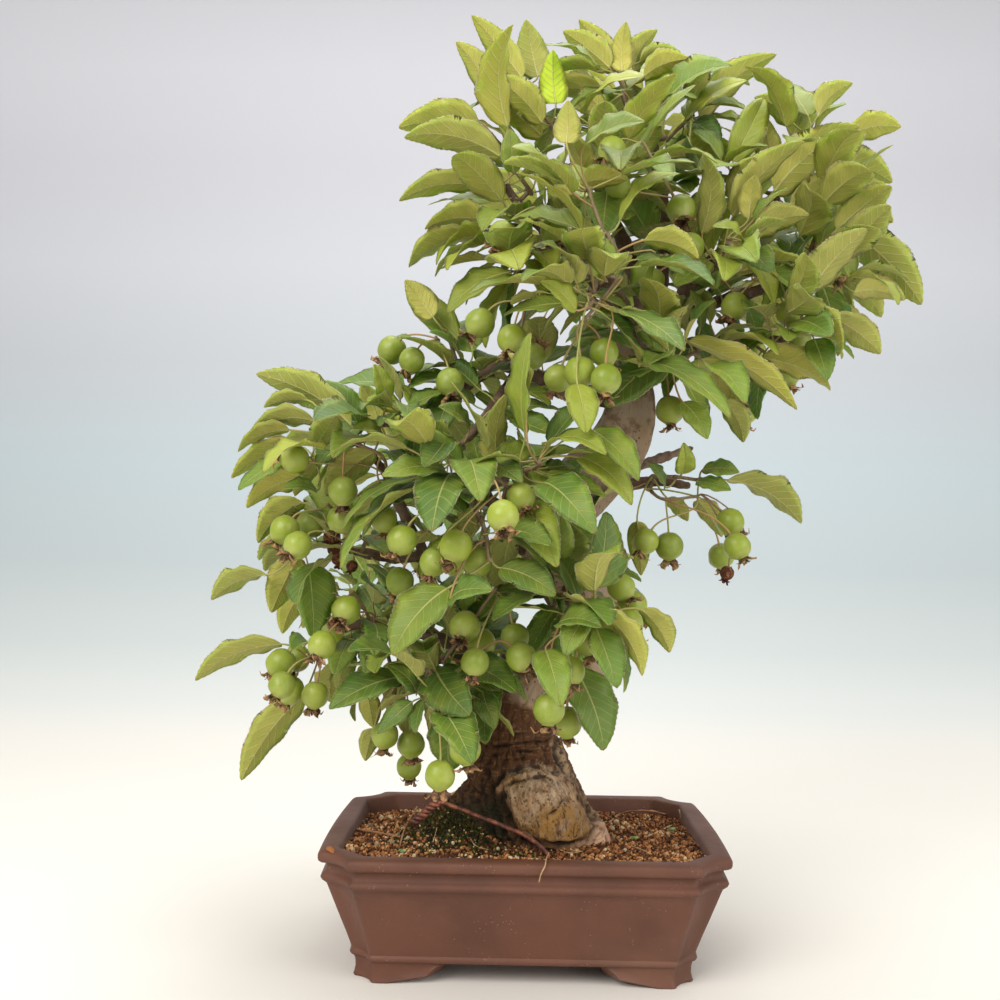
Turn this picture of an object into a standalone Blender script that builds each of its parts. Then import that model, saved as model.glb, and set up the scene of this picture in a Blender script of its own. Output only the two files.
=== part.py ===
"""Hall crabapple bonsai, grown in a rectangular unglazed pot.

Lengths are in millimetres until a mesh is made. X runs along the pot, Y away from the
viewer and Z up, from the middle of the pot's foot. At the end everything is moved so that
the origin is the bottom centre of the whole tree's box.
"""
import math
import random

import bmesh
import bpy
from mathutils import Vector
from mathutils.bvhtree import BVHTree

MM = 0.001
GAP = 0.35
SHORTEST_EDGE = 0.1
DRAW_SEED = 11

# Where the photograph was taken from, so that a pixel of it can place a leaf or a fruit
VIEW_POINT = Vector((-8, -761, 263))
VIEW_YAW = math.radians(-0.83)
VIEW_PITCH = math.radians(2.32)
VIEW_ROLL = math.radians(0.84)
VIEW_FOCAL_PX = 1131
VIEW_MIDDLE_PX = 500

# Pot: half length, half depth and corner cut at each height, outside and inside
POT_OUTSIDE = (
    (12.5, 104.6, 74.9, 13.8),
    (14.6, 106.0, 76.3, 14.5),
    (16.6, 105.0, 75.3, 14.0),
    (58.5, 119.8, 89.8, 20.0),
    (60.6, 122.8, 92.8, 21.4),
    (63.8, 122.8, 92.8, 21.4),
    (66.0, 120.0, 90.0, 20.0),
    (70.5, 121.0, 91.0, 20.5),
    (72.0, 125.0, 95.0, 22.0),
    (75.0, 125.0, 95.0, 22.0),
    (78.3, 121.8, 91.8, 20.6),
)
POT_INSIDE = (
    (78.3, 113.6, 83.6, 18.6),
    (77.0, 112.5, 82.5, 18.0),
    (20.5, 96.0, 66.0, 12.0),
)
POT_SIDE_BOW = 2.0
CORNER_SCOOP = 0.16
FOOT_OUTSIDE = ((14.0, 104.0, 74.4, 13.6), (5.0, 102.6, 72.9, 13.2), (0.0, 103.9, 73.9, 13.6))
FOOT_WALL = 13.0
ARCH_TOP = 13.0
LONG_ARCH = (58.5, 41.0)
SHORT_ARCH = (36.0, 24.0)
DRAIN_X = 55.0
DRAIN_RADIUS = 10.0
SCREEN_SIZE = (150.0, 32.0, 1.2)

# Soil: level from front to back, and the mossy mound on the left of the trunk
SOIL_LEVEL = 71.5
SOIL_FALL = 0.05
MOUND_HEIGHT = 26.0
MOUND_CENTRE = (-36.0, -4.0)
MOUND_SPREAD = (33.0, 38.0)
POCKET_FLOOR = 42.0
SOIL_RINGS = (0.45, 0.78)

# Anchor wire: pixels with a depth, from the twisted end to the single strand in the soil
WIRE_RADIUS = 1.5
WIRE_LINE = (
    (415, 821, -52), (426, 812, -52), (437, 803, -52), (452, 806, -55), (480, 817, -60),
    (508, 828, -64), (532, 840, -66), (545, 850, -67), (549, 857, -67.5),
)
WIRE_STEPS = 2
WIRE_SIDES = 6
WIRE_TWIST_POINTS = 3
WIRE_TWIST_RADII = (2.3, 2.9)

# Trunk: centre line and radius above the root flare
TRUNK_SIDES = 12
SOIL_SIDES = 2 * TRUNK_SIDES
TRUNK_LINE = (
    (-5, -2, 118, 35), (-9, 0, 134, 30), (-9, 0, 150, 27), (-3, 0, 167, 26), (13, 0, 180, 25.5),
    (33, 0, 188, 25), (46, 0, 202, 24), (43, 0, 222, 23), (29, 0, 244, 23), (18, 0, 265, 22.5),
    (20, 0, 285, 22), (37, 0, 305, 21.5), (57, 0, 328, 20), (67, 0, 352, 18), (67, 0, 376, 16.5),
    (72, 0, 398, 14), (81, 0, 416, 10), (88, 0, 428, 7),
)
# Root flare: direction in degrees, width in degrees and reach in millimetres of each root
FLARE_RADIUS = 42.0
FLARE_CENTRE = (2.0, -5.0)
FLARE_ROOTS = ((-8, 17, 12), (-62, 30, 5), (178, 34, 10), (120, 22, 5), (58, 20, 3))
FLARE_LEVELS = (0.16, 0.36, 0.6)
LOBE_DIRECTION = -58
LOBE_WIDTH = 34
LOBE_BULGE = 12.0

# Branches: start and end radius, then pixels of the photograph with a depth in millimetres
BRANCHES = {
    "left": (7, 2.6, (545, 545, 0), (505, 546, -8), (450, 552, -22), (395, 558, -32), (345, 548, -38)),
    "left_rise": (3.6, 2.2, (425, 555, -27), (402, 510, -42), (380, 465, -48), (352, 440, -50)),
    "low_left": (7, 2.6, (500, 705, 0), (484, 662, -12), (440, 640, -24), (380, 622, -28), (330, 632, -30)),
    "low_front": (4, 2.2, (478, 655, -14), (455, 655, -45), (430, 665, -62)),
    "upper_left": (7, 2.6, (615, 400, 0), (560, 388, -12), (505, 366, -24), (455, 392, -32), (405, 412, -38)),
    "upper_left_front": (4, 2.2, (520, 370, -22), (490, 410, -55), (468, 440, -78)),
    "right": (5, 2.2, (585, 498, 0), (630, 485, -4), (662, 482, -8), (690, 486, -12)),
    "crown_left": (7, 2.4, (645, 335, 0), (600, 285, 4), (560, 245, -4), (525, 212, -14), (505, 185, -20)),
    "crown_rise": (7, 2.2, (650, 325, 0), (632, 265, 10), (605, 200, 8), (578, 148, 0), (560, 118, -6)),
    "crown_top": (6, 2.2, (652, 325, 2), (664, 255, 16), (662, 190, 14), (650, 135, 6), (640, 100, 2)),
    "crown_right": (7, 2.4, (652, 335, 2), (690, 288, -2), (732, 240, -8), (775, 195, -12), (800, 165, -12)),
    "right_arm": (6, 2.3, (650, 338, 2), (708, 306, -8), (765, 288, -14), (822, 262, -18)),
    "right_low": (5, 2.2, (640, 360, 0), (690, 344, -22), (742, 338, -36), (790, 340, -42)),
    "crown_front": (5.5, 2.3, (640, 352, -4), (634, 330, -48), (622, 300, -82), (606, 268, -104)),
    "front_left": (5.5, 2.3, (548, 540, -6), (528, 522, -50), (500, 505, -84), (465, 498, -104)),
    "front_low": (5, 2.3, (580, 600, -8), (574, 590, -46), (566, 592, -78), (570, 604, -98)),
    "back_left": (6, 2.3, (545, 545, 6), (520, 520, 62), (490, 500, 100), (455, 492, 124)),
    "back_crown": (6, 2.3, (640, 352, 4), (622, 315, 58), (602, 284, 96), (590, 256, 118)),
    "back_right": (6, 2.3, (645, 345, 4), (690, 315, 52), (738, 292, 86), (775, 268, 104)),
    "back_low": (5.5, 2.3, (495, 705, 5), (458, 655, 52), (418, 622, 80), (378, 604, 94)),
    "back_low_right": (4.5, 2.2, (625, 470, 4), (662, 458, 46), (692, 448, 76)),
    "back_top": (4.2, 2.2, (663, 235, 14), (656, 195, 50), (648, 165, 78)),
}
BRANCH_SIDES = 5
THICK_BRANCH = 6.5

# Leafy stems: leaf count, then root and tip as pixels of the photograph with a depth
STEMS = {
    "spray_top_left": (12, (556, 122, -6), (515, 88, -12)),
    "spray_top_middle": (11, (636, 108, 2), (618, 76, 0)),
    "spray_top_right": (10, (660, 140, 8), (694, 116, 4)),
    "spray_crown_left_high": (11, (520, 200, -16), (500, 150, -26)),
    "spray_crown_left": (11, (542, 228, -8), (484, 224, -16)),
    "spray_crown_left_low": (11, (552, 240, -8), (500, 262, -52)),
    "spray_round_left": (6, (462, 388, -32), (446, 330, -40)),
    "spray_crown_front_high": (10, (604, 262, -106), (590, 190, -100)),
    "spray_crown_front": (11, (614, 284, -96), (584, 304, -128)),
    "spray_crown_middle": (9, (606, 205, 0), (625, 160, -50)),
    "spray_crown_right_high": (11, (772, 198, -14), (738, 178, -30)),
    "spray_right_top": (11, (800, 166, -14), (806, 132, -18)),
    "spray_right_high": (11, (818, 262, -18), (826, 206, -22)),
    "spray_right_end": (10, (812, 268, -18), (838, 282, -26)),
    "spray_right_low": (10, (785, 338, -42), (800, 322, -58)),
    "spray_front_right": (11, (700, 343, -26), (672, 362, -72)),
    "spray_front_right_high": (11, (700, 294, -6), (728, 240, -66)),
    "spray_right_spray": (12, (650, 486, -8), (708, 482, -20)),
    "spray_left_high": (11, (410, 412, -38), (378, 425, -62)),
    "spray_left_far": (12, (356, 442, -50), (314, 462, -58)),
    "spray_left_middle": (11, (350, 548, -38), (312, 548, -48)),
    "spray_left_low": (10, (336, 630, -30), (305, 662, -36)),
    "spray_front_left": (12, (468, 438, -78), (432, 462, -104)),
    "spray_front_middle": (12, (496, 504, -86), (540, 462, -112)),
    "spray_front_centre": (10, (468, 498, -104), (492, 560, -116)),
    "spray_front_low": (11, (430, 664, -62), (440, 690, -84)),
    "spray_front_low_left": (8, (385, 622, -28), (400, 690, -42)),
    "spray_front_low_right": (12, (570, 602, -98), (592, 622, -112)),
    "spray_back_left": (12, (455, 492, 124), (395, 470, 138)),
    "spray_back_low": (11, (380, 604, 94), (335, 600, 108)),
    "spray_back_crown": (12, (590, 256, 118), (552, 215, 134)),
    "spray_back_right": (12, (776, 268, 104), (812, 232, 120)),
    "spray_back_top": (11, (648, 165, 78), (638, 112, 92)),
}
STEM_RADIUS = 1.5
# The way straight on from a stem's last node, beside its four sides
END = "end"
STEM_NODE_PITCH = 11.0
MOST_NODES = 6
STEM_NODE_LENGTH = 2.6

# Leaves seen in the photograph: pixels of base and tip, width in pixels, and roll in degrees
# (positive turns the upper face to the viewer, negative the underside)
SEEN_LEAVES = (
    (522, 78, 474, 16, 26, -60), (495, 96, 457, 42, 28, -60), (538, 77, 526, 20, 30, -55),
    (556, 104, 553, 51, 29, -75), (542, 123, 495, 76, 27, -50), (542, 136, 488, 95, 24, -45),
    (479, 121, 399, 126, 26, -40), (501, 157, 405, 134, 26, -40), (490, 189, 399, 199, 20, -25),
    (488, 220, 424, 226, 22, -25), (470, 236, 407, 265, 22, -25), (490, 238, 434, 261, 20, -20),
    (433, 317, 405, 280, 36, -75), (511, 272, 447, 312, 28, 45), (576, 311, 540, 281, 34, 60),
    (585, 306, 619, 320, 26, 50), (594, 287, 632, 255, 30, 55), (600, 238, 614, 265, 26, 55),
    (577, 384, 586, 433, 30, 60), (592, 430, 640, 478, 24, 50), (610, 68, 564, 31, 26, -50),
    (615, 71, 580, 20, 26, -60), (622, 71, 626, 22, 22, -60), (633, 70, 655, 30, 24, -50),
    (644, 76, 688, 58, 24, -45), (584, 114, 644, 75, 30, 50), (585, 145, 644, 119, 26, 50),
    (566, 143, 568, 101, 34, -70), (552, 186, 540, 155, 30, -50), (579, 184, 627, 180, 26, -40),
    (513, 173, 510, 129, 22, 60), (699, 117, 772, 53, 28, -45), (685, 120, 746, 78, 28, 45),
    (703, 119, 756, 135, 18, 30), (669, 158, 743, 154, 28, -45), (644, 161, 671, 131, 26, -50),
    (728, 163, 768, 146, 14, 30), (793, 123, 755, 97, 22, -45), (774, 165, 763, 117, 24, -60),
    (818, 116, 852, 83, 30, -50), (847, 135, 901, 127, 24, -40), (774, 192, 855, 125, 40, -55),
    (789, 206, 892, 189, 30, -45), (829, 162, 892, 180, 26, -35), (839, 202, 893, 221, 20, -35),
    (849, 229, 923, 302, 30, -40), (833, 241, 856, 275, 18, -40), (854, 292, 905, 299, 22, -40),
    (795, 273, 855, 309, 20, -30), (753, 236, 809, 215, 28, -45), (783, 248, 831, 259, 24, -40),
    (734, 204, 755, 156, 30, -60), (749, 219, 755, 175, 20, -60), (743, 240, 713, 226, 22, 50),
    (743, 255, 776, 302, 20, 40), (644, 240, 699, 257, 18, -30), (640, 360, 733, 411, 24, 25),
    (688, 341, 798, 409, 22, -30), (700, 359, 746, 419, 20, -35), (763, 358, 831, 390, 24, -35),
    (804, 304, 843, 358, 24, -35), (682, 402, 708, 438, 32, 60), (831, 317, 881, 352, 22, -35),
    (724, 400, 744, 442, 20, -40), (727, 480, 802, 522, 28, -20), (702, 470, 739, 471, 26, 55),
    (682, 474, 684, 443, 24, 60), (665, 488, 649, 463, 16, 55), (696, 482, 731, 490, 18, 50),
    (698, 500, 722, 535, 14, -35), (667, 498, 688, 521, 24, -40), (637, 521, 641, 575, 20, -60),
    (665, 519, 720, 570, 18, -30), (352, 426, 256, 374, 32, -45), (308, 400, 264, 406, 14, -25),
    (315, 421, 251, 432, 18, -30), (290, 430, 237, 450, 16, -30), (303, 447, 231, 474, 20, -30),
    (303, 476, 246, 505, 22, -30), (317, 491, 283, 488, 20, 45), (303, 502, 257, 541, 24, -35),
    (291, 519, 241, 548, 18, -30), (267, 575, 211, 599, 22, -30), (282, 644, 195, 676, 22, -35),
    (303, 695, 241, 780, 30, -50), (404, 677, 329, 709, 24, 35), (299, 557, 271, 612, 30, -50),
    (306, 588, 282, 633, 26, -50), (332, 588, 303, 626, 26, -50), (349, 641, 334, 675, 30, 60),
    (360, 586, 380, 621, 28, 60), (374, 728, 365, 760, 18, -50), (367, 693, 374, 728, 24, -55),
    (448, 588, 392, 655, 40, 55), (443, 675, 432, 723, 50, 60), (454, 711, 450, 770, 42, 60),
    (482, 691, 495, 728, 34, 60), (509, 704, 505, 753, 26, 60), (514, 703, 530, 733, 22, 55),
    (545, 650, 561, 707, 26, 55), (574, 668, 605, 750, 34, 50), (568, 714, 592, 752, 22, -40),
    (641, 609, 670, 652, 24, -40), (602, 611, 644, 675, 26, -40), (559, 623, 600, 625, 26, 50),
    (500, 568, 556, 594, 28, 55), (458, 500, 466, 538, 32, 60), (531, 470, 578, 515, 26, 45),
    (557, 559, 560, 510, 26, 60), (596, 564, 630, 559, 30, -50), (463, 492, 533, 494, 18, 40),
    (480, 468, 522, 482, 22, 40), (493, 465, 534, 450, 24, 55), (546, 446, 605, 450, 20, 40),
    (579, 457, 632, 505, 24, 45), (591, 450, 658, 508, 22, -35), (451, 599, 490, 588, 26, 55),
    (527, 390, 508, 353, 24, -45), (387, 401, 374, 364, 28, 60), (386, 441, 355, 426, 24, 55),
    (429, 500, 358, 493, 34, 55), (445, 470, 382, 476, 22, 45), (365, 439, 333, 457, 22, 45),
    (374, 452, 325, 495, 30, -45), (420, 420, 400, 385, 32, 60), (400, 412, 366, 398, 30, 60),
    (545, 425, 505, 440, 20, 45), (470, 430, 440, 405, 26, 50), (520, 640, 540, 610, 24, 55),
    (415, 690, 388, 665, 28, 55), (655, 255, 640, 300, 28, 60), (700, 330, 690, 290, 26, 55),
)

# Fruit bunches: depth, root on a branch, knots on the way out, then the fruits' pixels
BUNCHES = {
    "fruits_crown_left": (-62, (548, 236), ((535, 208),), ((503, 235), (554, 230))),
    "fruits_crown_top": (-46, (664, 215), ((668, 186), (642, 140)),
                         ((612, 150), (618, 186), (681, 209), (690, 247), (652, 281))),
    "fruits_right_arm": (-44, (765, 288), ((778, 272),), ((735, 306), (789, 313), (798, 342), (826, 271))),
    "fruits_right_low": (-30, (745, 338), ((764, 352),), ((749, 388), (786, 374), (745, 412))),
    "fruits_upper_left": (-66, (520, 372), ((528, 300),), ((480, 323), (512, 339), (532, 357))),
    "fruits_far_upper_left": (-52, (440, 398), ((438, 338),), ((450, 382), (412, 360), (392, 350))),
    "fruits_front_crown": (-112, (618, 292), ((582, 322),), ((580, 372), (604, 352), (606, 379), (558, 378))),
    "fruits_under_crown": (-30, (672, 348), ((664, 374),), ((670, 410),)),
    "fruits_left_high": (-72, (390, 482), ((392, 462), (340, 436)),
                         ((343, 491), (341, 519), (295, 459), (384, 519))),
    "fruits_left": (-62, (362, 552), ((328, 506),), ((285, 530), (311, 524), (298, 545))),
    "fruits_front_left": (-112, (500, 505), ((505, 476), (458, 498)),
                          ((402, 540), (434, 562), (456, 546), (477, 561), (400, 581), (503, 516),
                           (521, 497))),
    "fruits_front_centre": (-78, (474, 652), ((497, 588),),
                            ((465, 626), (481, 643), (515, 637), (521, 657), (475, 662))),
    "fruits_low_right": (-104, (568, 600), ((558, 628),), ((549, 709), (567, 722), (570, 671), (588, 640))),
    "fruits_right_front": (-88, (575, 590), ((596, 578),),
                           ((621, 587), (632, 605), (628, 624), (610, 629), (613, 681), (614, 703))),
    "fruits_low_middle": (-86, (436, 664), ((448, 700),), ((465, 749), (440, 775))),
    "fruits_low_left": (-50, (400, 628), ((394, 694),), ((385, 735), (411, 744), (409, 766))),
    "fruits_far_left": (-44, (336, 632), ((332, 642),),
                        ((281, 663), (290, 690), (315, 695), (297, 658), (282, 685))),
    "fruits_left_low": (-52, (372, 622), ((352, 590),), ((330, 630), (346, 610), (322, 645), (363, 636))),
    "fruits_right_spray": (-26, (648, 484), ((652, 500), (700, 496)),
                           ((646, 541), (669, 546), (730, 522), (737, 546), (721, 556))),
    "fruits_back_left": (140, (470, 496), ((440, 505),), ((420, 560), (455, 565), (480, 548))),
    "fruits_back_crown": (132, (598, 270), ((575, 275),), ((540, 330), (580, 335), (605, 318))),
    "fruits_back_right": (112, (750, 284), ((742, 300),), ((720, 350), (755, 352), (775, 335))),
}
FRUIT_RADII = (9.4, 8.8, 9.1, 8.5, 9.6)

# Outline of the foliage in the photograph, which the leaves that are placed by rule keep to
FOLIAGE_OUTLINE = (
    (470, 22), (525, 22), (600, 20), (655, 30), (690, 58), (770, 58), (800, 82), (850, 84), (852, 118),
    (898, 128), (892, 185), (895, 230), (924, 300), (880, 350), (842, 362), (830, 390), (795, 405),
    (745, 440), (700, 436), (664, 420), (652, 388), (612, 392), (602, 440), (640, 468), (660, 510),
    (612, 500), (600, 530), (640, 560), (648, 600), (668, 650), (642, 672), (604, 748), (560, 715),
    (510, 752), (450, 768), (372, 758), (330, 705), (300, 660), (282, 640), (262, 600), (243, 545),
    (232, 474), (240, 425), (262, 378), (330, 380), (395, 345), (405, 282), (425, 262), (425, 226),
    (402, 200), (430, 160), (402, 130), (470, 110), (458, 45),
)
FOLIAGE_DEPTH = (-165, 172)
LEAF_LENGTHS = (44, 66)
LEAF_HALF_WIDTH = 0.235
LEAF_RINGS = ((0.32, 0.98), (0.68, 0.82))
LEAF_THICKNESS = 1.5
PETIOLE_RADIUS = 0.75
CLEARANCE = 0.7
FARTHEST_BASE = 46

MATERIALS = {
    "pot": ((0.19, 0.085, 0.055), 0.62, 0.0),
    "soil": ((0.16, 0.07, 0.035), 0.95, 0.0),
    "bark": ((0.27, 0.19, 0.12), 0.85, 0.0),
    "leaf": ((0.13, 0.24, 0.035), 0.5, 0.0),
    "fruit": ((0.3, 0.47, 0.06), 0.38, 0.0),
    "wire": ((0.2, 0.09, 0.06), 0.5, 0.6),
    "screen": ((0.03, 0.03, 0.03), 0.6, 0.0),
}


def view_axes():
    """Right, up and forward directions of the photograph's view."""
    forward = Vector((
        math.sin(VIEW_YAW) * math.cos(VIEW_PITCH),
        math.cos(VIEW_YAW) * math.cos(VIEW_PITCH),
        math.sin(VIEW_PITCH),
    ))
    level = Vector((math.cos(VIEW_YAW), -math.sin(VIEW_YAW), 0))
    upright = level.cross(forward)
    right = level * math.cos(VIEW_ROLL) + upright * math.sin(VIEW_ROLL)
    up = upright * math.cos(VIEW_ROLL) - level * math.sin(VIEW_ROLL)
    return right, up, forward


VIEW_RIGHT, VIEW_UP, VIEW_FORWARD = view_axes()


def seen_at(pixel_x, pixel_y, depth):
    """Place at this depth (its Y) that the photograph shows at this pixel."""
    across = VIEW_RIGHT * ((pixel_x - VIEW_MIDDLE_PX) / VIEW_FOCAL_PX)
    down = VIEW_UP * ((pixel_y - VIEW_MIDDLE_PX) / VIEW_FOCAL_PX)
    ray = VIEW_FORWARD + across - down
    return VIEW_POINT + ray * ((depth - VIEW_POINT.y) / ray.y)


def pixel_of(place):
    """Pixel of the photograph at which a place shows."""
    ray = place - VIEW_POINT
    far = ray.dot(VIEW_FORWARD)
    return (
        VIEW_MIDDLE_PX + VIEW_FOCAL_PX * ray.dot(VIEW_RIGHT) / far,
        VIEW_MIDDLE_PX - VIEW_FOCAL_PX * ray.dot(VIEW_UP) / far,
    )


def inside_outline(pixel, outline):
    """True if the pixel lies inside the closed outline."""
    x, y = pixel
    inside = False
    for (ax, ay), (bx, by) in zip(outline, outline[1:] + outline[:1]):
        if (ay > y) != (by > y) and x < ax + (bx - ax) * (y - ay) / (by - ay):
            inside = not inside
    return inside


def smooth_line(points, steps):
    """Places on a smooth line through the points, with this many steps between two points."""
    padded = [2 * points[0] - points[1], *points, 2 * points[-1] - points[-2]]
    line = []
    for a, b, c, d in zip(padded, padded[1:], padded[2:], padded[3:]):
        for step in range(steps):
            t = step / steps
            bend = 2 * a - 5 * b + 4 * c - d
            line.append(0.5 * (2 * b + (c - a) * t + bend * t ** 2 + (3 * b - 3 * c + d - a) * t ** 3))
    line.append(points[-1])
    return line


def carried_frames(line, first_side=None):
    """Tangent, side and rise at each place of a line, carried along it without twist."""
    last = len(line) - 1
    side = first_side
    frames = []
    for index in range(len(line)):
        tangent = (line[min(index + 1, last)] - line[max(index - 1, 0)]).normalized()
        if side is None:
            side = tangent.orthogonal()
        side = (side - tangent * side.dot(tangent)).normalized()
        frames.append((tangent, side, tangent.cross(side)))
    return frames


class Surface:
    """Points and triangles of one closed body."""

    def __init__(self):
        self.points = []
        self.faces = []

    def ring(self, places):
        start = len(self.points)
        self.points.extend(places)
        return list(range(start, len(self.points)))

    def band(self, near, far):
        """Joins two rings of equal count, with the diagonals mirrored from side to side."""
        count = len(near)
        for k in range(count):
            after = (k + 1) % count
            if k % 2 == 0:
                self.faces.append((near[k], near[after], far[after]))
                self.faces.append((near[k], far[after], far[k]))
            else:
                self.faces.append((near[k], near[after], far[k]))
                self.faces.append((near[after], far[after], far[k]))

    def bridge(self, near, far):
        """Joins two rings of different counts that start on the same side."""
        i = 0
        j = 0
        while i < len(near) or j < len(far):
            if j >= len(far) or (i < len(near) and (i + 1) / len(near) <= (j + 1) / len(far)):
                self.faces.append((near[i % len(near)], near[(i + 1) % len(near)], far[j % len(far)]))
                i += 1
            else:
                self.faces.append((near[i % len(near)], far[(j + 1) % len(far)], far[j % len(far)]))
                j += 1

    def point_end(self, ring, tip):
        """Draws a ring together in one point."""
        end = len(self.points)
        self.points.append(tip)
        for k in range(len(ring)):
            self.faces.append((ring[k], ring[(k + 1) % len(ring)], end))

    def flat_end(self, ring):
        """Closes a convex ring."""
        for k in range(1, len(ring) - 1):
            self.faces.append((ring[0], ring[k], ring[k + 1]))

    def hub_end(self, ring):
        """Closes a flat ring that isn't convex, round a point in its middle."""
        self.point_end(ring, sum((self.points[i] for i in ring), Vector()) / len(ring))

    def tree(self):
        return BVHTree.FromPolygons(self.points, self.faces)


def make_object(name, surface, material_name, smooth_angle=None):
    """Blender object of a surface, with its faces turned outwards."""
    mesh = bpy.data.meshes.new(name)
    mesh.from_pydata([place * MM for place in surface.points], [], surface.faces)
    work = bmesh.new()
    work.from_mesh(mesh)
    bmesh.ops.recalc_face_normals(work, faces=work.faces)
    work.to_mesh(mesh)
    work.free()
    item = bpy.data.objects.new(name, mesh)
    bpy.context.scene.collection.objects.link(item)
    mesh.materials.append(plain_material(material_name))
    if smooth_angle is not None:
        mesh.shade_smooth()
        mesh.set_sharp_from_angle(angle=math.radians(smooth_angle))
    return item


def plain_material(name):
    if name in bpy.data.materials:
        return bpy.data.materials[name]
    colour, roughness, metallic = MATERIALS[name]
    material = bpy.data.materials.new(name)
    material.use_nodes = True
    shader = material.node_tree.nodes["Principled BSDF"]
    shader.inputs["Base Color"].default_value = (*colour, 1)
    shader.inputs["Roughness"].default_value = roughness
    shader.inputs["Metallic"].default_value = metallic
    return material


def apply_boolean(item, operation, others, solver="EXACT"):
    """One Boolean with every other object, applied, and the other objects removed."""
    group = bpy.data.collections.new(item.name + "_others")
    for other in others:
        group.objects.link(other)
    change = item.modifiers.new("join", "BOOLEAN")
    change.operation = operation
    change.operand_type = "COLLECTION"
    change.collection = group
    change.solver = solver
    result = bpy.data.meshes.new_from_object(item.evaluated_get(bpy.context.evaluated_depsgraph_get()))
    item.modifiers.clear()
    item.data = result
    work = bmesh.new()
    work.from_mesh(result)
    bmesh.ops.triangulate(work, faces=work.faces)
    bmesh.ops.dissolve_degenerate(work, edges=work.edges, dist=SHORTEST_EDGE * MM)
    bmesh.ops.triangulate(work, faces=work.faces)
    work.to_mesh(result)
    work.free()
    for other in others:
        bpy.data.objects.remove(other)
    bpy.data.collections.remove(group)


def pot_ring(level, scoop, bow):
    """Outline at one height: a rectangle with cut, scooped corners and bowed short sides."""
    height, half_length, half_depth, cut = level
    corner_steps = 4 if scoop else 2
    places = []
    for sign_x, sign_y, turned in ((1, 1, False), (-1, 1, True), (-1, -1, False), (1, -1, True)):
        short_end = Vector((sign_x * half_length, sign_y * (half_depth - cut), height))
        long_end = Vector((sign_x * (half_length - cut), sign_y * half_depth, height))
        first, second = (long_end, short_end) if turned else (short_end, long_end)
        inward = Vector((-sign_x, -sign_y, 0)).normalized()
        for step in range(corner_steps):
            t = step / (corner_steps - 1)
            places.append(first.lerp(second, t) + inward * (scoop * cut * 4 * t * (1 - t)))
        if turned:
            places.append(Vector((sign_x * (half_length + bow), 0, height)))
    return places


def make_pot():
    body = Surface()
    rings = [body.ring(pot_ring(level, CORNER_SCOOP, POT_SIDE_BOW)) for level in POT_OUTSIDE]
    inner = [body.ring(pot_ring(level, 0, 0)) for level in POT_INSIDE]
    for near, far in zip(rings, rings[1:]):
        body.band(near, far)
    body.faces.extend(rim_faces(body.points, rings[-1], inner[0]))
    for near, far in zip(inner, inner[1:]):
        body.band(near, far)
    body.hub_end(inner[-1])
    body.hub_end(rings[0])
    pot = make_object("pot", body, "pot")

    skirt = Surface()
    outer = [skirt.ring(pot_ring(level, CORNER_SCOOP, 0)) for level in FOOT_OUTSIDE]
    narrow = [(z, length - FOOT_WALL, depth - FOOT_WALL, cut) for z, length, depth, cut in FOOT_OUTSIDE]
    hollow = [skirt.ring(pot_ring(narrow[index], CORNER_SCOOP, 0)) for index in (2, 0)]
    loop = outer + hollow
    for near, far in zip(loop, loop[1:] + loop[:1]):
        skirt.band(near, far)
    feet = make_object("feet", skirt, "pot")
    apply_boolean(feet, "DIFFERENCE", [make_arch(LONG_ARCH, "y"), make_arch(SHORT_ARCH, "x")])
    drains = [make_disc("drain", side * DRAIN_X, DRAIN_RADIUS, 8.0, 30.0) for side in (-1, 1)]
    apply_boolean(pot, "UNION", [feet], "MANIFOLD")
    apply_boolean(pot, "DIFFERENCE", drains, "MANIFOLD")


def rim_faces(points, outer, inner):
    """Flat top of the rim, between the scooped outer ring and the plain inner ring."""
    def turn(index):
        return math.atan2(points[index].y, points[index].x)

    outer = sorted(outer, key=turn)
    inner = sorted(inner, key=turn)
    faces = []
    i = 0
    j = 0
    while i < len(outer) or j < len(inner):
        next_outer = turn(outer[(i + 1) % len(outer)]) + (math.tau if i + 1 >= len(outer) else 0)
        next_inner = turn(inner[(j + 1) % len(inner)]) + (math.tau if j + 1 >= len(inner) else 0)
        if j >= len(inner) or (i < len(outer) and next_outer <= next_inner):
            faces.append((outer[i % len(outer)], outer[(i + 1) % len(outer)], inner[j % len(inner)]))
            i += 1
        else:
            faces.append((outer[i % len(outer)], inner[(j + 1) % len(inner)], inner[j % len(inner)]))
            j += 1
    return faces


def make_arch(widths, through):
    """Cutter for the curved space between two feet, right through the pot."""
    at_floor, at_top = widths
    profile = [(at_floor, -5.0), (at_floor, 0.0)]
    for step in range(1, 5):
        angle = math.radians(90 * step / 4)
        profile.append((at_top + (at_floor - at_top) * math.cos(angle), ARCH_TOP * math.sin(angle)))
    profile += [(-across, height) for across, height in reversed(profile)]
    arch = Surface()
    reach = 200.0
    ends = []
    for end in (-reach, reach):
        if through == "y":
            ends.append(arch.ring([Vector((across, end, height)) for across, height in profile]))
        else:
            ends.append(arch.ring([Vector((end, across, height)) for across, height in profile]))
    arch.band(*ends)
    arch.flat_end(ends[0])
    arch.flat_end(ends[1])
    return make_object("arch", arch, "pot")


def make_disc(name, centre_x, radius, bottom, top, sides=12, material="pot", centre_y=0.0):
    disc = Surface()
    ends = []
    for height in (bottom, top):
        ends.append(disc.ring([
            Vector((
                centre_x + radius * math.cos(math.tau * k / sides),
                centre_y + radius * math.sin(math.tau * k / sides),
                height,
            ))
            for k in range(sides)
        ]))
    disc.band(*ends)
    disc.flat_end(ends[0])
    disc.flat_end(ends[1])
    return make_object(name, disc, material)


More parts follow.
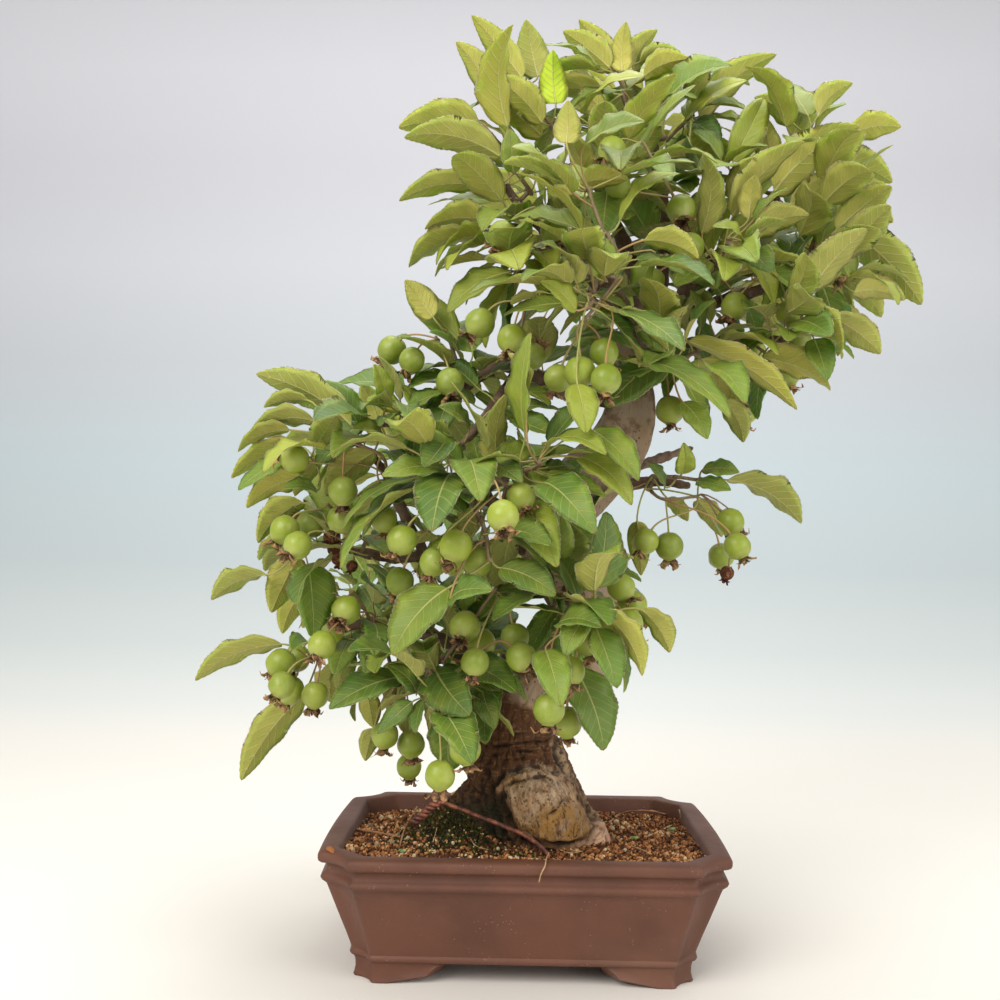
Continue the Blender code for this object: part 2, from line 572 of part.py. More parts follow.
def soil_height(x, y):
    """Height of the soil, which falls to the back and rises to a mound beside the trunk."""
    off_x = (x - MOUND_CENTRE[0]) / MOUND_SPREAD[0]
    off_y = (y - MOUND_CENTRE[1]) / MOUND_SPREAD[1]
    return SOIL_LEVEL - SOIL_FALL * y + MOUND_HEIGHT * math.exp(-off_x ** 2 - off_y ** 2)


def swell(angle, direction, width):
    """Bell-shaped share of a root or lobe at this angle, in degrees."""
    away = (angle - direction + 180) % 360 - 180
    return math.exp(-(away / width) ** 2)


def flare_radius(angle):
    """Radius of the root flare at soil level, at an angle in degrees."""
    return FLARE_RADIUS + sum(reach * swell(angle, way, width) for way, width, reach in FLARE_ROOTS)


def flare_place(angle, level, grow=0.0):
    """Place on the root flare: level 0 is at the soil and 1 at the first trunk ring."""
    top_x, top_y, top_z, top_radius = TRUNK_LINE[0]
    centre_x = FLARE_CENTRE[0] + (top_x - FLARE_CENTRE[0]) * level
    centre_y = FLARE_CENTRE[1] + (top_y - FLARE_CENTRE[1]) * level
    radius = top_radius + (flare_radius(angle) - top_radius) * (1 - level) ** 1.4 + grow
    radius += LOBE_BULGE * swell(angle, LOBE_DIRECTION, LOBE_WIDTH) * math.sin(math.pi * level ** 0.85)
    turn = math.radians(angle)
    x = centre_x + radius * math.cos(turn)
    y = centre_y + radius * math.sin(turn)
    foot = soil_height(x, y) if level == 0 else flare_place(angle, 0).z
    return Vector((x, y, foot + (top_z - foot) * level))


def trunk_surface():
    """Trunk from the pocket in the soil, over the root flare, to the crown."""
    wood = Surface()
    angles = [360 * k / TRUNK_SIDES for k in range(TRUNK_SIDES)]
    rings = []
    buried = [flare_place(angle, 0) for angle in angles]
    rings.append(wood.ring([Vector((place.x, place.y, POCKET_FLOOR + GAP)) for place in buried]))
    rings.append(wood.ring([place + Vector((0, 0, 3)) for place in buried]))
    for level in FLARE_LEVELS:
        rings.append(wood.ring([flare_place(angle, level) for angle in angles]))
    stations = smooth_line([Vector(station) for station in TRUNK_LINE], 1)
    line = [station.to_3d() for station in stations]
    for station, (_, side, rise) in zip(stations, carried_frames(line, Vector((1, 0, 0)))):
        places = []
        for angle in angles:
            turn = math.radians(angle)
            radius = station.w * trunk_flute(angle, station.z)
            places.append(station.to_3d() + (side * math.cos(turn) + rise * math.sin(turn)) * radius)
        rings.append(wood.ring(places))
    for near, far in zip(rings, rings[1:]):
        wood.band(near, far)
    wood.hub_end(rings[0])
    wood.hub_end(rings[-1])
    return wood


def trunk_flute(angle, height):
    """Slow swelling of the trunk round its section."""
    turn = math.radians(angle)
    return 1 + 0.035 * math.sin(2 * turn + height * 0.03) + 0.03 * math.sin(3 * turn - height * 0.05)


def branch_surface(thick, thin, *places):
    """Tapering branch through the given places."""
    limb = Surface()
    line = smooth_line([seen_at(*place) for place in places], 2 if thick > THICK_BRANCH else 1)
    rings = []
    for index, (place, (_, side, rise)) in enumerate(zip(line, carried_frames(line))):
        radius = thick + (thin - thick) * (index / (len(line) - 1)) ** 0.8
        turns = [math.tau * k / BRANCH_SIDES for k in range(BRANCH_SIDES)]
        rings.append(limb.ring([place + (side * math.cos(t) + rise * math.sin(t)) * radius for t in turns]))
    for near, far in zip(rings, rings[1:]):
        limb.band(near, far)
    limb.flat_end(rings[0])
    limb.flat_end(rings[-1])
    return limb


class Stem:
    """Twig with short nodes, each of which bears leaves or fruits on its four sides."""

    def __init__(self, name, seat, normal, knots, node_count, radius=STEM_RADIUS):
        self.name = name
        reach = (knots[-1] - seat).length
        lift = seat + normal * min(7.0, reach * 0.3)
        line = smooth_line([seat, lift, *knots], 6)
        frames = carried_frames(line)
        self.butt = (line[0], frames[0])
        self.radius = radius
        self.nodes = []
        lengths = [0.0]
        for near, far in zip(line, line[1:]):
            lengths.append(lengths[-1] + (far - near).length)
        total = lengths[-1]
        first = min(0.3, 10.0 / total)
        for index in range(node_count):
            share = 1.0 if node_count == 1 else first + (1 - first) * index / (node_count - 1)
            wanted = share * total - STEM_NODE_LENGTH / 2
            at = max(i for i in range(len(line) - 1) if lengths[i] <= wanted or i == 0)
            part = (wanted - lengths[at]) / (lengths[at + 1] - lengths[at])
            place = line[at].lerp(line[at + 1], part)
            self.nodes.append(Node(place, frames[at], radius * (1 - 0.25 * share)))
        self.nodes[-1].is_end = True

    def surface(self):
        """The bare stem with open sides where something grows, and the loops they start from."""
        body = Surface()
        place, (_, side, rise) = self.butt
        rings = [body.ring(square_ring(place, side, rise, self.radius * 0.9, 0))]
        body.flat_end(rings[0])
        for node in self.nodes:
            if not node.grown and not node.is_end:
                middle = body.ring(node.ring_at(0))
                body.band(rings[-1], best_turn(body.points, rings[-1], middle))
                rings.append(middle)
                continue
            near = body.ring(node.ring_at(-STEM_NODE_LENGTH / 2))
            far = body.ring(node.ring_at(STEM_NODE_LENGTH / 2))
            body.band(rings[-1], best_turn(body.points, rings[-1], near))
            rings.append(far)
            for k in range(4):
                loop = [near[k], near[(k + 1) % 4], far[(k + 1) % 4], far[k]]
                grown = node.grown.get(k)
                if grown:
                    grown.build(body, loop)
                else:
                    body.faces.append((loop[0], loop[1], loop[2]))
                    body.faces.append((loop[0], loop[2], loop[3]))
        last_leaf = self.nodes[-1].grown.get(END)
        if last_leaf:
            last_leaf.build(body, rings[-1])
        else:
            body.flat_end(rings[-1])
        return body

    def bare(self):
        """The stem alone, a little fat, for keeping clear of it."""
        body = Surface()
        place, (tangent, side, rise) = self.butt
        rings = [body.ring(square_ring(place + tangent * 0.6, side, rise, self.radius + CLEARANCE, 0))]
        for node in self.nodes:
            radius = node.radius + CLEARANCE
            rings.append(body.ring(square_ring(node.centre, node.side, node.rise, radius, 0)))
        for near, far in zip(rings, rings[1:]):
            body.band(near, far)
        body.flat_end(rings[0])
        body.flat_end(rings[-1])
        return body


def square_ring(centre, side, rise, radius, turn):
    """Four places round a centre, whose first side faces the given turn."""
    places = []
    for k in range(4):
        angle = turn + math.radians(90 * k - 45)
        places.append(centre + (side * math.cos(angle) + rise * math.sin(angle)) * radius)
    return places


def cross_ring(centre, side, up, radius):
    """Left, upper, right and lower place round a centre."""
    return [centre - side * radius, centre + up * radius, centre + side * radius, centre - up * radius]


def best_turn(points, near, far):
    """The far ring started at the corner that twists least against the near ring."""
    near_middle = sum((points[i] for i in near), Vector()) / len(near)
    far_middle = sum((points[i] for i in far), Vector()) / len(far)
    best = None
    for start in range(len(far)):
        turned = far[start:] + far[:start]
        twist = sum(
            ((points[i] - near_middle).normalized() - (points[j] - far_middle).normalized()).length
            for i, j in zip(near, turned)
        )
        if best is None or twist < best[0] - 1e-6:
            best = (twist, turned)
    return best[1]


class Node:
    """Place on a stem that bears up to four leaves or fruits round it."""

    def __init__(self, centre, frame, radius):
        self.centre = centre
        self.tangent, self.side, self.rise = frame
        self.radius = radius
        self.turn = 0.0
        self.grown = {}
        self.is_end = False

    def ring_at(self, along):
        return square_ring(self.centre + self.tangent * along, self.side, self.rise, self.radius, self.turn)

    def facing(self, k):
        angle = self.turn + math.radians(90 * k)
        return self.side * math.cos(angle) + self.rise * math.sin(angle)

    def free_side(self, way):
        """Free side of the node that faces the given way, or None."""
        onward = way.normalized().dot(self.tangent)
        if self.is_end and onward > 0.8:
            return None if END in self.grown else END
        if abs(onward) > 0.88:
            return None
        angle = math.atan2(way.dot(self.rise), way.dot(self.side))
        if not any(k != END for k in self.grown):
            self.turn = angle
            return 0
        k = round((angle - self.turn) / (math.pi / 2)) % 4
        off = (angle - self.turn - k * math.pi / 2 + math.pi) % math.tau - math.pi
        if k in self.grown or abs(off) > math.radians(44):
            return None
        return k

    def start(self, k):
        if k == END:
            return self.centre + self.tangent * (STEM_NODE_LENGTH / 2)
        return self.centre + self.facing(k) * (self.radius * 0.7)


class Leaf:
    """One blade on its petiole: arched along the midrib, folded and waved across it."""

    def __init__(self, start, base, tip, up, half_width, arch, fold, wave):
        self.start = start
        self.base = base
        self.tip = tip
        self.half_width = half_width
        self.arch = arch
        self.fold = fold
        self.wave = wave
        along = (tip - base).normalized()
        self.up = (up - along * up.dot(along)).normalized()
        self.side = along.cross(self.up)

    def middle(self, share):
        """Place on the midrib at a share of the blade's length."""
        length = (self.tip - self.base).length
        return self.base.lerp(self.tip, share) + self.up * (self.arch * length * 4 * share * (1 - share))

    def section(self, share, width, thickness):
        """Left edge, upper midrib, right edge and lower midrib."""
        centre = self.middle(share)
        wave = self.wave if share > 0.5 else -self.wave
        left = centre - self.side * width + self.up * (width * (self.fold + wave))
        right = centre + self.side * width + self.up * (width * (self.fold - wave))
        return [left, centre + self.up * (thickness / 2), right, centre - self.up * (thickness / 2)]

    def neck(self, radius):
        """Small ring where the petiole bends into the blade, square to the bend."""
        way = ((self.base - self.start).normalized() + (self.tip - self.base).normalized()).normalized()
        up = (self.up - way * self.up.dot(way)).normalized()
        side = way.cross(up)
        return cross_ring(self.base, side, up, radius)

    def build(self, body, loop):
        """Adds the petiole from the loop on the stem, and the blade at its end."""
        ring = body.ring(self.neck(PETIOLE_RADIUS))
        body.band(best_turn(body.points, ring, loop), ring)
        for share, width in LEAF_RINGS:
            wider = body.ring(self.section(share, self.half_width * width, LEAF_THICKNESS))
            body.band(ring, wider)
            ring = wider
        body.point_end(ring, self.tip)

    def space(self, from_share):
        """The room that the leaf takes, a little larger all round, for keeping clear of it."""
        body = Surface()
        way = (self.base - self.start).normalized()
        up = (self.up - way * self.up.dot(way)).normalized()
        thick = PETIOLE_RADIUS + CLEARANCE
        ring = body.ring(cross_ring(self.start.lerp(self.base, from_share), way.cross(up), up, thick))
        body.flat_end(ring)
        neck = body.ring(self.neck(thick))
        body.band(ring, neck)
        ring = neck
        for share, width in LEAF_RINGS:
            fat = self.half_width * width + CLEARANCE
            wider = body.ring(self.section(share, fat, LEAF_THICKNESS + 2 * CLEARANCE))
            body.band(ring, wider)
            ring = wider
        body.point_end(ring, self.tip + (self.tip - self.base).normalized() * (2 * CLEARANCE))
        return body

    def clear_points(self):
        return [self.middle(0.35), self.middle(0.7), self.tip]


class Fruit:
    """One crab apple on its pedicel."""

    SIDES = 6
    LATITUDES = (40, -2, -45)

    def __init__(self, start, centre, radius):
        self.start = start
        self.centre = centre
        self.radius = radius
        away = (centre - start).normalized()
        self.axis = (away + Vector((0, 0, -0.9))).normalized() if away.z < 0.1 else away
        self.side = self.axis.orthogonal().normalized()
        self.rise = self.axis.cross(self.side)

    def circle(self, centre, radius, count):
        turns = [math.tau * k / count for k in range(count)]
        return [centre + (self.side * math.cos(t) + self.rise * math.sin(t)) * radius for t in turns]

    def build(self, body, loop, grow=0.0):
        top = self.centre - self.axis * (self.radius * 0.95)
        ring = body.ring(self.circle(top, PETIOLE_RADIUS + grow, 4))
        body.band(best_turn(body.points, ring, loop), ring)
        size = self.radius + grow
        for latitude in self.LATITUDES:
            turn = math.radians(latitude)
            middle = self.centre - self.axis * (size * math.sin(turn))
            wider = body.ring(self.circle(middle, size * math.cos(turn) * 1.04, self.SIDES))
            if len(ring) == 4:
                body.bridge(ring, wider)
            else:
                body.band(ring, wider)
            ring = wider
        body.point_end(ring, self.centre + self.axis * size)

    def space(self, from_share):
        """The room that the fruit and its pedicel take, a little larger all round."""
        body = Surface()
        near = self.start.lerp(self.centre, from_share)
        loop = body.ring(self.circle(near, PETIOLE_RADIUS + CLEARANCE, 4))
        body.flat_end(loop)
        self.build(body, loop, CLEARANCE)
        return body


class Space:
    """Everything placed so far, so that the next piece can keep clear of it."""

    def __init__(self):
        self.items = []

    def add(self, surface, owner):
        middle, reach = ball_round(surface.points)
        self.items.append((middle, reach, surface.tree(), owner))

    def is_free(self, surface, owner=None, own=False):
        """True if the surface crosses none of the owner's pieces, or none of the others'."""
        middle, reach = ball_round(surface.points)
        tree = None
        for other_middle, other_reach, other_tree, other_owner in self.items:
            if (other_owner == owner) != own or (other_middle - middle).length > reach + other_reach:
                continue
            tree = tree or surface.tree()
            if tree.overlap(other_tree):
                return False
        return True

    def try_growing(self, stem, node, k, piece):
        """Grows the piece on the stem if it crosses nothing there."""
        if not self.is_free(piece.space(0.0), stem.name):
            return False
        if not self.is_free(piece.space(0.25), stem.name, own=True):
            return False
        node.grown[k] = piece
        if crosses_itself(stem.surface()):
            del node.grown[k]
            return False
        self.add(piece.space(0.0), stem.name)
        return True


def crosses_itself(surface):
    """True if two triangles of the surface that share no corner cross each other."""
    tree = surface.tree()
    return any(
        not set(surface.faces[a]) & set(surface.faces[b])
        for a, b in tree.overlap(tree) if a < b
    )


def ball_round(points):
    middle = sum(points, Vector()) / len(points)
    return middle, max((place - middle).length for place in points)


def seat_on(wood_tree, place):
    """Nearest place on the wood, just off its surface, and the way out of it."""
    location, normal, _, distance = wood_tree.find_nearest(place)
    away = (place - location).normalized() if distance > 1.0 else normal
    if away.dot(normal) < 0:
        away = normal
    return location + normal * (GAP + 0.1), (normal * 2 + away).normalized()


def place_fruits(space, wood_tree, draw):
    """Fruit stems with their fruits at the pixels that the photograph shows."""
    stems = []
    count = 0
    for name, (depth, root, knots, fruits) in BUNCHES.items():
        knot_places = [seen_at(x, y, depth) for x, y in knots]
        node_count = max(math.ceil(len(fruits) / 3) + 1, 2)
        stem = clear_stem(space, wood_tree, draw, (name, seen_at(*root, depth), knot_places, node_count, 1.3))
        for pixel in fruits:
            radius = FRUIT_RADII[count % len(FRUIT_RADII)]
            count += 1
            options = [
                (depth + shift, node)
                for shift in (-4, 6, -14, 16, -24, 26, -34, 36, -44, 46)
                for node in reversed(stem.nodes)
            ]
            for fruit_depth, node in options:
                centre = seen_at(*pixel, fruit_depth)
                turn_before = node.turn
                k = node.free_side(centre - node.centre)
                if k is None:
                    continue
                if space.try_growing(stem, node, k, Fruit(node.start(k), centre, radius)):
                    break
                node.turn = turn_before
        stems.append(stem)
    return stems


def clear_stem(space, wood_tree, draw, design):
    """Stem from the wood to its knots, shifted a little until it clears what is there."""
    name, root, knots, node_count, radius = design
    for attempt in range(60):
        shake = Vector([draw.uniform(-1, 1) for _ in range(3)]) * (attempt * 0.4)
        shift = Vector([draw.uniform(-1, 1) for _ in range(3)]) * (attempt * 0.4)
        seat, normal = seat_on(wood_tree, root + shake)
        stem = Stem(name, seat, normal, [*knots[:-1], knots[-1] + shift], node_count, radius)
        body = stem.surface()
        if space.is_free(stem.bare()) and space.is_free(body) and not crosses_itself(body):
            break
    space.add(stem.bare(), name)
    return stem


def make_stems(space, wood_tree, draw):
    """Leafy stems, each bent until it clears the fruits and the other stems."""
    stems = []
    for name, (leaf_count, root, tip) in STEMS.items():
        start = seen_at(*root)
        end = seen_at(*tip)
        node_count = min(MOST_NODES, max(3, round((end - start).length / STEM_NODE_PITCH)))
        stem = clear_stem(space, wood_tree, draw, (name, start, [end], node_count, STEM_RADIUS))
        stem.wanted = leaf_count
        stems.append(stem)
    return stems


def blade_up(along, roll):
    """Upper side of a blade that points along, rolled towards the viewer by some degrees."""
    to_viewer = Vector((0, -1, 0))
    level = Vector((0, 0, 1)) - along * along.z
    if level.length < 0.35:
        level = to_viewer - along * to_viewer.dot(along)
    turn = math.radians(roll)
    return level.normalized() * math.cos(turn) + to_viewer * math.sin(turn)


def place_seen_leaves(space, stems, draw):
    """Leaves that the photograph shows, each on the nearest free node of a stem."""
    for seen in SEEN_LEAVES:
        base_x, base_y = seen[:2]
        choices = []
        for stem in stems:
            for node in stem.nodes:
                base = seen_at(base_x, base_y, node.centre.y)
                choices.append(((base - node.centre).length, len(choices), stem, node))
        choices.sort(key=lambda choice: choice[:2])
        fold = draw.uniform(0.12, 0.35)
        wave = draw.uniform(-0.16, 0.16)
        arch = draw.uniform(0.08, 0.16)
        shape = (arch, fold, wave)
        for reach, _, stem, node in choices[:8]:
            if reach > FARTHEST_BASE:
                break
            if grow_seen_leaf(space, stem, node, seen, shape):
                break


def grow_seen_leaf(space, stem, node, seen, shape):
    """Grows one leaf of the photograph on a node, with its depth shifted until it has room."""
    base_x, base_y, tip_x, tip_y, width, roll = seen
    lean = -12 if roll > 0 else 6
    for shift in (-5, 3, -12, 10, -20, 18):
        base = seen_at(base_x, base_y, node.centre.y + shift)
        if (base - node.centre).length < 6:
            continue
        turn_before = node.turn
        k = node.free_side(base - node.centre)
        if k is None:
            continue
        for extra in (0, -14, 14, 28, -28):
            tip = seen_at(tip_x, tip_y, base.y + lean + extra)
            along = (tip - base).normalized()
            if (base - node.centre).normalized().dot(along) < -0.2:
                continue
            half_width = width * 0.67 * 0.5 / max(0.55, math.sin(math.radians(abs(roll))))
            half_width = min(half_width, 0.3 * (tip - base).length)
            leaf = Leaf(node.start(k), base, tip, blade_up(along, roll), half_width, *shape)
            if space.try_growing(stem, node, k, leaf):
                return True
        node.turn = turn_before
    return False


def place_rule_leaves(space, stems, draw):
    """Fills each stem with leaves set spirally along it, as far as there is room."""
    middle = Vector((40, 0, 0))
    for stem in stems:
        grown = sum(len(node.grown) for node in stem.nodes)
        spiral = draw.uniform(0, math.tau)
        for trial in range(stem.wanted * 5):
            if grown >= stem.wanted:
                break
            node = stem.nodes[-1 - trial % len(stem.nodes)]
            spiral += math.radians(137.5)
            if len(node.grown) >= 4:
                continue
            way = node.side * math.cos(spiral) + node.rise * math.sin(spiral)
            turn_before = node.turn
            k = node.free_side(way)
            if k is None:
                continue
            leaf = rule_leaf(node, k, middle, draw)
            if fits_outline(leaf) and space.try_growing(stem, node, k, leaf):
                grown += 1
            else:
                node.turn = turn_before


def rule_leaf(node, k, middle, draw):
    out = Vector((node.centre.x - middle.x, node.centre.y * 1.5, 0))
    out = out.normalized() if out.length > 1 else Vector((0, -1, 0))
    facing = node.facing(k)
    petiole_way = (facing + node.tangent * draw.uniform(0.3, 0.9) + Vector((0, 0, 0.25))).normalized()
    start = node.start(k)
    base = start + petiole_way * draw.uniform(13, 24)
    sag = Vector((0, 0, draw.uniform(-0.6, 0.25)))
    along = (petiole_way + out * draw.uniform(0.2, 0.8) + sag).normalized()
    length = draw.uniform(*LEAF_LENGTHS)
    up = Vector((0, 0, 1)) + out * draw.uniform(0.2, 0.9)
    up += Vector([draw.uniform(-0.3, 0.3) for _ in range(3)])
    half_width = length * LEAF_HALF_WIDTH * draw.uniform(0.9, 1.12)
    return Leaf(start, base, base + along * length, up, half_width,
                draw.uniform(0.06, 0.16), draw.uniform(0.1, 0.35), draw.uniform(-0.15, 0.15))


def fits_outline(leaf):
    """True if a leaf placed by rule stays inside the foliage that the photograph shows."""
    for place in leaf.clear_points():
        if not FOLIAGE_DEPTH[0] < place.y < FOLIAGE_DEPTH[1]:
            return False
        if not inside_outline(pixel_of(place), FOLIAGE_OUTLINE):
            return False
    return True


def make_soil():
    """Soil that fills the pot, with a pocket for the trunk and a recess over the screen."""
    soil = Surface()
    rim_z, rim_length, rim_depth, rim_cut = POT_INSIDE[1]
    floor_z, floor_length, floor_depth, floor_cut = POT_INSIDE[2]

    def wall_ring(height_of):
        places = []
        for k in range(SOIL_SIDES):
            angle = 360 * k / SOIL_SIDES
            places.append(wall_place(angle, height_of))
        return places

    def wall_place(angle, height_of):
        turn = math.radians(angle)
        way = Vector((math.cos(turn), math.sin(turn), 0))
        centre = Vector((*FLARE_CENTRE, 0))
        height = floor_z + GAP
        for _ in range(3):
            share = (height - floor_z) / (rim_z - floor_z)
            length = floor_length + (rim_length - floor_length) * share - GAP
            depth = floor_depth + (rim_depth - floor_depth) * share - GAP
            cut = floor_cut + (rim_cut - floor_cut) * share
            reach = min(
                (math.copysign(length, way.x) - centre.x) / way.x if abs(way.x) > 1e-6 else 1e9,
                (math.copysign(depth, way.y) - centre.y) / way.y if abs(way.y) > 1e-6 else 1e9,
            )
            corner = length + depth - cut
            corner -= math.copysign(centre.x, way.x * centre.x) + math.copysign(centre.y, way.y * centre.y)
            reach = min(reach, corner / (abs(way.x) + abs(way.y)))
            place = centre + way * reach
            if height_of is None:
                return Vector((place.x, place.y, height))
            height = height_of(place.x, place.y)
        return Vector((place.x, place.y, height))

    angles = [360 * k / SOIL_SIDES for k in range(SOIL_SIDES)]
    hole = []
    for angle in angles:
        place = hole_place(angle)
        hole.append(Vector((place.x, place.y, soil_height(place.x, place.y))))
    wall = wall_ring(soil_height)
    rings = [soil.ring(wall_ring(None)), soil.ring(wall)]
    for share in SOIL_RINGS:
        places = []
        for outer, inner in zip(wall, hole):
            place = outer.lerp(inner, share)
            places.append(Vector((place.x, place.y, soil_height(place.x, place.y))))
        rings.append(soil.ring(places))
    rings.append(soil.ring(hole))
    rings.append(soil.ring([Vector((place.x, place.y, POCKET_FLOOR)) for place in hole]))
    for near, far in zip(rings, rings[1:]):
        soil.band(near, far)
    soil.hub_end(rings[0])
    soil.hub_end(rings[-1])
    item = make_object("soil", soil, "soil")
    length, depth, thickness = SCREEN_SIZE
    recess = make_slab("recess", (length + 1, depth + 1, thickness + 5 + 3 * GAP), floor_z - 5, "soil")
    wire_end = seen_at(*WIRE_LINE[-1])
    wire_hole = make_disc("wire_hole", wire_end.x, WIRE_RADIUS + 0.8, 62, 90, 8, "soil", wire_end.y)
    apply_boolean(item, "DIFFERENCE", [recess, wire_hole], "MANIFOLD")


def hole_place(angle):
    """Edge of the pocket in the soil, just clear of the root flare's straight sides."""
    step = 360 / TRUNK_SIDES
    low = math.floor(angle / step) * step
    near = flare_place(low, 0)
    far = flare_place(low + step, 0)
    centre = Vector((*FLARE_CENTRE, 0))
    turn = math.radians(angle)
    way = Vector((math.cos(turn), math.sin(turn), 0))
    edge = far - near
    start = near - centre
    reach = (start.x * edge.y - start.y * edge.x) / (way.x * edge.y - way.y * edge.x)
    return centre + way * (reach + GAP * 1.6)


def make_wire():
    """Wire that holds the tree in the pot, lying over the soil in front of the trunk."""
    wire = Surface()
    line = smooth_line([seen_at(*place) for place in WIRE_LINE], WIRE_STEPS)
    line.append(line[-1] + Vector((0, 0, -5)))
    rings = []
    twist_end = (WIRE_TWIST_POINTS - 1) * WIRE_STEPS
    for index, (place, (_, side, rise)) in enumerate(zip(line, carried_frames(line))):
        radius = WIRE_TWIST_RADII[index % 2] if index <= twist_end else WIRE_RADIUS
        turns = [math.tau * k / WIRE_SIDES for k in range(WIRE_SIDES)]
        rings.append(wire.ring([place + (side * math.cos(t) + rise * math.sin(t)) * radius for t in turns]))
    for near, far in zip(rings, rings[1:]):
        wire.band(near, far)
    wire.flat_end(rings[0])
    wire.flat_end(rings[-1])
    make_object("anchor_wire", wire, "wire", 40)


def make_slab(name, size, bottom, material):
    """Flat rectangular piece in the middle of the pot."""
    length, depth, thickness = size
    slab = Surface()
    ends = []
    for height in (bottom, bottom + thickness):
        ends.append(slab.ring([
            Vector((sign_x * length / 2, sign_y * depth / 2, height))
            for sign_x, sign_y in ((1, 1), (-1, 1), (-1, -1), (1, -1))
        ]))
    slab.band(*ends)
    slab.flat_end(ends[0])
    slab.flat_end(ends[1])
    return make_object(name, slab, material)


def make_tree():
    """Wood first, then the fruits, the leafy stems and their leaves."""
    draw = random.Random(DRAW_SEED)
    wood = make_object("trunk_and_branches", trunk_surface(), "bark", 60)
    apply_boolean(wood, "UNION", [
        make_object("limb_" + name, branch_surface(*branch), "bark", 60) for name, branch in BRANCHES.items()
    ], "MANIFOLD")
    places = [vertex.co / MM for vertex in wood.data.vertices]
    wood_tree = BVHTree.FromPolygons(places, [tuple(face.vertices) for face in wood.data.polygons])
    space = Space()
    space.items.append((*ball_round(places), wood_tree, wood.name))
    bunches = place_fruits(space, wood_tree, draw)
    stems = make_stems(space, wood_tree, draw)
    place_seen_leaves(space, stems, draw)
    place_rule_leaves(space, stems, draw)
    for stem in bunches:
        make_object(stem.name, stem.surface(), "fruit", 60)
    for stem in stems:
        make_object(stem.name, stem.surface(), "leaf")


def move_origin_to_foot():
    """Puts the origin at the bottom centre of the box round the whole tree."""
    corners = [vertex.co for item in bpy.data.objects for vertex in item.data.vertices]
    low = Vector([min(corner[axis] for corner in corners) for axis in range(3)])
    high = Vector([max(corner[axis] for corner in corners) for axis in range(3)])
    shift = Vector(((low.x + high.x) / 2, (low.y + high.y) / 2, low.z))
    for item in bpy.data.objects:
        for vertex in item.data.vertices:
            vertex.co -= shift


def main():
    for item in list(bpy.data.objects):
        bpy.data.objects.remove(item)
    make_pot()
    make_slab("drain_screen", SCREEN_SIZE, POT_INSIDE[2][0] + GAP, "screen")
    make_soil()
    make_wire()
    make_tree()
    move_origin_to_foot()


main()
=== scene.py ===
"""Looks of a hall crabapple bonsai in its pot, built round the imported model.

Sizes are in millimetres from the middle of the pot's foot, and become metres when a mesh is
made. Depth runs away from the viewer, along +Y.
"""
import math
import random

import bmesh
import bpy
from mathutils import Matrix, Vector, noise
from mathutils.bvhtree import BVHTree


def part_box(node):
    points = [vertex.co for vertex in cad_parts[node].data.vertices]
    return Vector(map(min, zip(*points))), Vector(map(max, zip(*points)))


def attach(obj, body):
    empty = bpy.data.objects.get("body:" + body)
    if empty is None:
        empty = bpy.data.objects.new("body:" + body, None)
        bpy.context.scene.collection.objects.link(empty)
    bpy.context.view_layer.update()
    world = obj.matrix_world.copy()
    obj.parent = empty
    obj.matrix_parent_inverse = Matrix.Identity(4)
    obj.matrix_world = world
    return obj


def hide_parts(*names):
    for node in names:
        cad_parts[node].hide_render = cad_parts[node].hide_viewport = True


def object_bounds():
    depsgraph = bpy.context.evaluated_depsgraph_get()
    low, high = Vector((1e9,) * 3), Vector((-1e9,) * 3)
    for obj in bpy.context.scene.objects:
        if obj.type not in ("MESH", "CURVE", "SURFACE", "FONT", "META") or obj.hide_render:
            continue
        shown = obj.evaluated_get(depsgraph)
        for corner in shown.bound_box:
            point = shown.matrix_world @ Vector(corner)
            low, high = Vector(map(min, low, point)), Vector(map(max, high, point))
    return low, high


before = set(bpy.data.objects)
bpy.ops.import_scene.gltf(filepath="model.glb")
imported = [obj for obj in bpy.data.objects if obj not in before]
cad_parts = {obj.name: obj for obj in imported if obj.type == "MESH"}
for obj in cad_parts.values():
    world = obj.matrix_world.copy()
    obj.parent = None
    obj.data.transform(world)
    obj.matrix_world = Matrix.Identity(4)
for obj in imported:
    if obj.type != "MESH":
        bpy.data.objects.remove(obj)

bpy.context.view_layer.update()
cad_low, cad_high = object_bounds()

# View of the photograph. The camera stands a little above the middle of the tree, and every
# place that is given below as a pixel of the photograph is found through it.
MM = 0.001
pot_low, pot_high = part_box("pot")
POT_MIDDLE = Vector(((pot_low[0] + pot_high[0]) / 2, (pot_low[1] + pot_high[1]) / 2, 0))
VIEW_POINT = Vector((-8, -761, 263))
VIEW_YAW = math.radians(-0.83)
VIEW_PITCH = math.radians(2.32)
VIEW_ROLL = math.radians(0.84)
VIEW_FOCAL = 1131
VIEW_MIDDLE = 500
FRAME_WIDTH = 1000
FILM_WIDTH = 36
NEAREST_SEEN = 0.01


def view_axes():
    """Right, up and forward directions of the photograph's view."""
    forward = Vector((
        math.sin(VIEW_YAW) * math.cos(VIEW_PITCH),
        math.cos(VIEW_YAW) * math.cos(VIEW_PITCH),
        math.sin(VIEW_PITCH),
    ))
    level = Vector((math.cos(VIEW_YAW), -math.sin(VIEW_YAW), 0))
    upright = level.cross(forward)
    right = level * math.cos(VIEW_ROLL) + upright * math.sin(VIEW_ROLL)
    return right, upright * math.cos(VIEW_ROLL) - level * math.sin(VIEW_ROLL), forward


VIEW_RIGHT, VIEW_UP, VIEW_FORWARD = view_axes()


